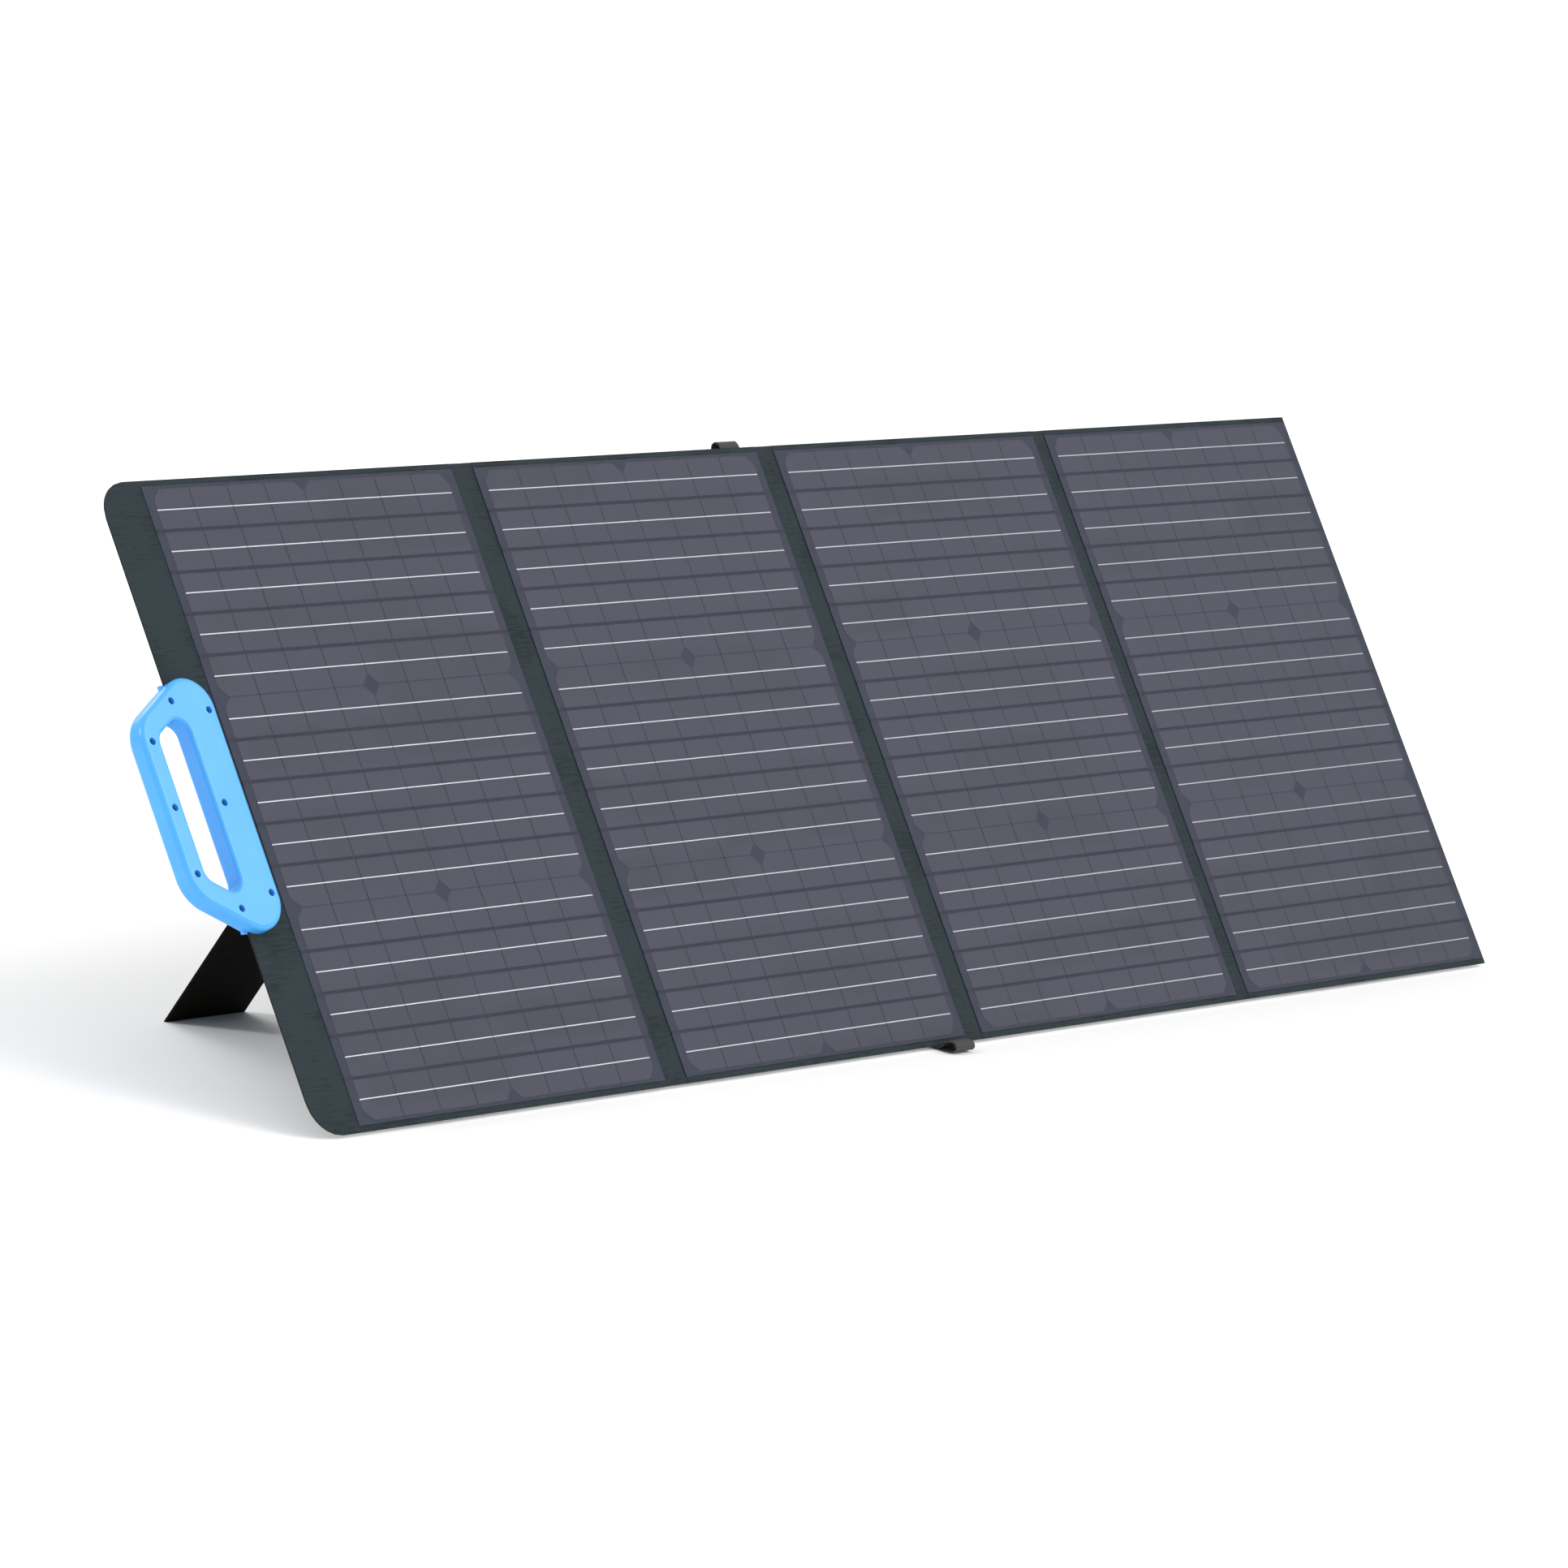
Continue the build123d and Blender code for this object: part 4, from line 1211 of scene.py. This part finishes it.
def pouch_block():
    """A flat block with rounded corners, a little smaller than the finished pouch."""
    (left, right), (low, high), (_, face) = POCKET_X, POCKET_UP, POCKET_OUT
    deselect()
    middle = ((left + right) / 2, (low + high) / 2, face - POUCH_START / 2)
    bpy.ops.mesh.primitive_cube_add(size=1, location=middle)
    piece = bpy.context.object
    piece.name = "lead_pocket_pouch"
    piece.scale = (right - left - 2 * POUCH_INSET, high - low - 2 * POUCH_INSET, POUCH_START)
    bpy.ops.object.transform_apply(location=True, scale=True)
    bpy.ops.object.mode_set(mode="EDIT")
    bpy.ops.mesh.select_all(action="DESELECT")
    bpy.ops.object.mode_set(mode="OBJECT")
    corners = piece.data.vertices
    for edge in piece.data.edges:
        start, end = (corners[index].co for index in edge.vertices)
        edge.select = abs(start.z - end.z) > POUCH_START / 2
    bpy.ops.object.mode_set(mode="EDIT")
    bpy.ops.mesh.select_mode(type="EDGE")
    bpy.ops.mesh.bevel(offset=POUCH_CORNER - POUCH_INSET, segments=6, affect="EDGES")
    bpy.ops.object.mode_set(mode="OBJECT")
    apply_modifier(piece, "REMESH", mode="VOXEL", voxel_size=VOXEL)
    return piece


def inflate(piece):
    """Blow the pouch up as cloth, with its face against the sheet pinned."""
    face = POCKET_OUT[1]
    pinned = piece.vertex_groups.new(name="sewn")
    sewn = [v.index for v in piece.data.vertices if v.co.z > face - VOXEL / 2]
    pinned.add(sewn, 1.0, "REPLACE")
    rest = [vertex.co.copy() for vertex in piece.data.vertices]
    modifier = piece.modifiers.new("cloth", "CLOTH")
    cloth_settings = modifier.settings
    cloth_settings.vertex_group_mass = "sewn"
    cloth_settings.use_pressure = True
    cloth_settings.uniform_pressure_force = 4.0
    cloth_settings.effector_weights.gravity = 0.0
    modifier.point_cache.frame_end = POUCH_STEPS
    for step in range(1, POUCH_STEPS + 1):
        bpy.context.scene.frame_set(step)
    choose(piece)
    bpy.ops.object.modifier_apply(modifier=modifier.name)
    for vertex, start in zip(piece.data.vertices, rest):
        moved = vertex.co - start
        if moved.length > POUCH_CAP:
            vertex.co = start + moved.normalized() * POUCH_CAP
    bpy.context.scene.frame_set(1)


def settle_pouch(piece):
    """Fit the pouch to its room, crowned in the middle and flat under the zip's tape."""
    low_out, face = POCKET_OUT
    crown = min(vertex.co.z for vertex in piece.data.vertices)
    swell = (face - low_out) / (face - crown)
    tape = ZIP_FACE + TAPE_THICK
    for vertex in piece.data.vertices:
        x = min(max(vertex.co.x, POCKET_X[0]), POCKET_X[1])
        up = min(max(vertex.co.y, POCKET_UP[0]), POCKET_UP[1])
        out = min(face - (face - vertex.co.z) * swell, face)
        near = 1.0 - ease((abs(up - ZIP_UP) - ZIP_HALF) / POUCH_EASE)
        aside = ease((min(x - POCKET_X[0], POCKET_X[1] - x) - 2 * MM) / POUCH_EASE)
        deep = ease((face - out - POUCH_START / 3) / (POUCH_START / 3))
        share = near * aside * deep
        vertex.co = x, up, out + (tape - out) * share


pouch = pouch_block()
inflate(pouch)
settle_pouch(pouch)
apply_modifier(pouch, "SUBSURF", levels=1, render_levels=1)
map_flat(pouch)
smooth(pouch, 60)
place_piece(pouch, "panel_2", "cover_cloth", CLOTH)
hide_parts("lead_pocket")
print("pouch:", len(pouch.data.polygons), "faces")

# %% Piping, zip tape and zip teeth


def ring_of(points, radius, name, sides=8):
    """A closed tube through points that lie in one plane of constant out."""
    count, verts, faces = len(points), [], []
    for index in range(count):
        before, point, after = (Vector(points[(index + k) % count]) for k in (-1, 0, 1))
        heading = (after - before).normalized()
        across = heading.cross(Vector((0, 0, 1)))
        for side in range(sides):
            angle = 2 * math.pi * side / sides
            lift = Vector((0, 0, radius * math.sin(angle)))
            verts.append(point + across * radius * math.cos(angle) + lift)
    for index in range(count):
        for side in range(sides):
            near, far, turn = index * sides, (index + 1) % count * sides, (side + 1) % sides
            faces.append((near + side, near + turn, far + turn, far + side))
    piece = new_piece(name, [tuple(v) for v in verts], faces)
    face_outwards(piece)
    return smooth(piece, 80)


def pocket_outline(inset, out):
    """Points round the pouch's rounded outline."""
    (left, right), (low, high) = POCKET_X, POCKET_UP
    r = POUCH_CORNER
    points = arc(left + r, low + r, r - inset, 180, 270, out)
    points += arc(right - r, low + r, r - inset, 270, 360, out)
    points += arc(right - r, high - r, r - inset, 0, 90, out)
    return points + arc(left + r, high - r, r - inset, 90, 180, out)


PIPING_R = 1.5 * MM
outline = pocket_outline(0.5 * MM, POCKET_OUT[1] - PIPING_R)
piping = map_flat(ring_of(outline, PIPING_R, "pocket_piping"))
place_piece(piping, "panel_2", "cover_cloth", CLOTH)

zip_middle = ZIP_START + ZIP_TRAVEL / 2
tape_half = ZIP_TRAVEL / 2 + 8 * MM
tape = block(
    "pocket_zip_tape",
    (zip_middle - tape_half, ZIP_UP - ZIP_HALF, ZIP_FACE),
    (zip_middle + tape_half, ZIP_UP + ZIP_HALF, ZIP_FACE + TAPE_THICK),
    0.25 * MM,
)
map_flat(tape)
place_piece(smooth(tape), "panel_2", "cover_cloth", WEBBING)


def zip_teeth():
    """Two rows of small teeth that mesh along the middle of the tape."""
    half = TOOTH / 2
    model = block("tooth", -half, half, 0.25 * MM, 1)
    turns = []
    count = int((ZIP_TRAVEL + 6 * MM) / TOOTH_PITCH)
    for index in range(count):
        for row in (-1, 1):
            x = zip_middle + (index - count / 2 + row / 4) * TOOTH_PITCH
            up = ZIP_UP + row * 0.7 * MM
            turns.append(Matrix.Translation((x, up, ZIP_FACE - half.z)))
    return gather("pocket_zip_teeth", model, turns)


teeth = zip_teeth()
place_piece(teeth, "panel_2", "zip_metal", SLIDER)
rows = []
for row in (-1, 1):
    level = ZIP_UP + row * (ZIP_HALF - 1.6 * MM)
    ends = (zip_middle - tape_half + 2 * MM, zip_middle + tape_half - 2 * MM)
    rows += stitch_turns([(x, level, ZIP_FACE) for x in ends], (0, 0, -1))
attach(sew("pocket_zip_stitching", rows), "panel_2")
print("zip:", len(teeth.data.polygons), "faces of teeth")

# %% [markdown]
# ## Junction box
# The box's lid carries a row of ribs, so that the plain moulding reads as a real one.

# %% Ribs on the lid
RIB_COUNT = 6
RIB_SIZE = Vector((58, 2.2, 1.2)) * MM
RIB_PITCH = 7.4 * MM
LID_X, LID_UP, LID_OUT = box_of("junction_box_lid")


def lid_ribs():
    """Rounded ribs across the middle of the lid."""
    middle = Vector((sum(LID_X) / 2, sum(LID_UP) / 2, LID_OUT[0]))
    half = RIB_SIZE / 2
    model = block("rib", -half, half, 0.5 * MM, 3)
    turns = []
    for index in range(RIB_COUNT):
        up = middle.y + (index - (RIB_COUNT - 1) / 2) * RIB_PITCH
        turns.append(Matrix.Translation((middle.x, up, middle.z - half.z * 0.6)))
    return gather("junction_box_lid_ribs", model, turns)


place_piece(smooth(lid_ribs()), "panel_2", "box_plastic", BOX)
print("junction box lid has", RIB_COUNT, "ribs")
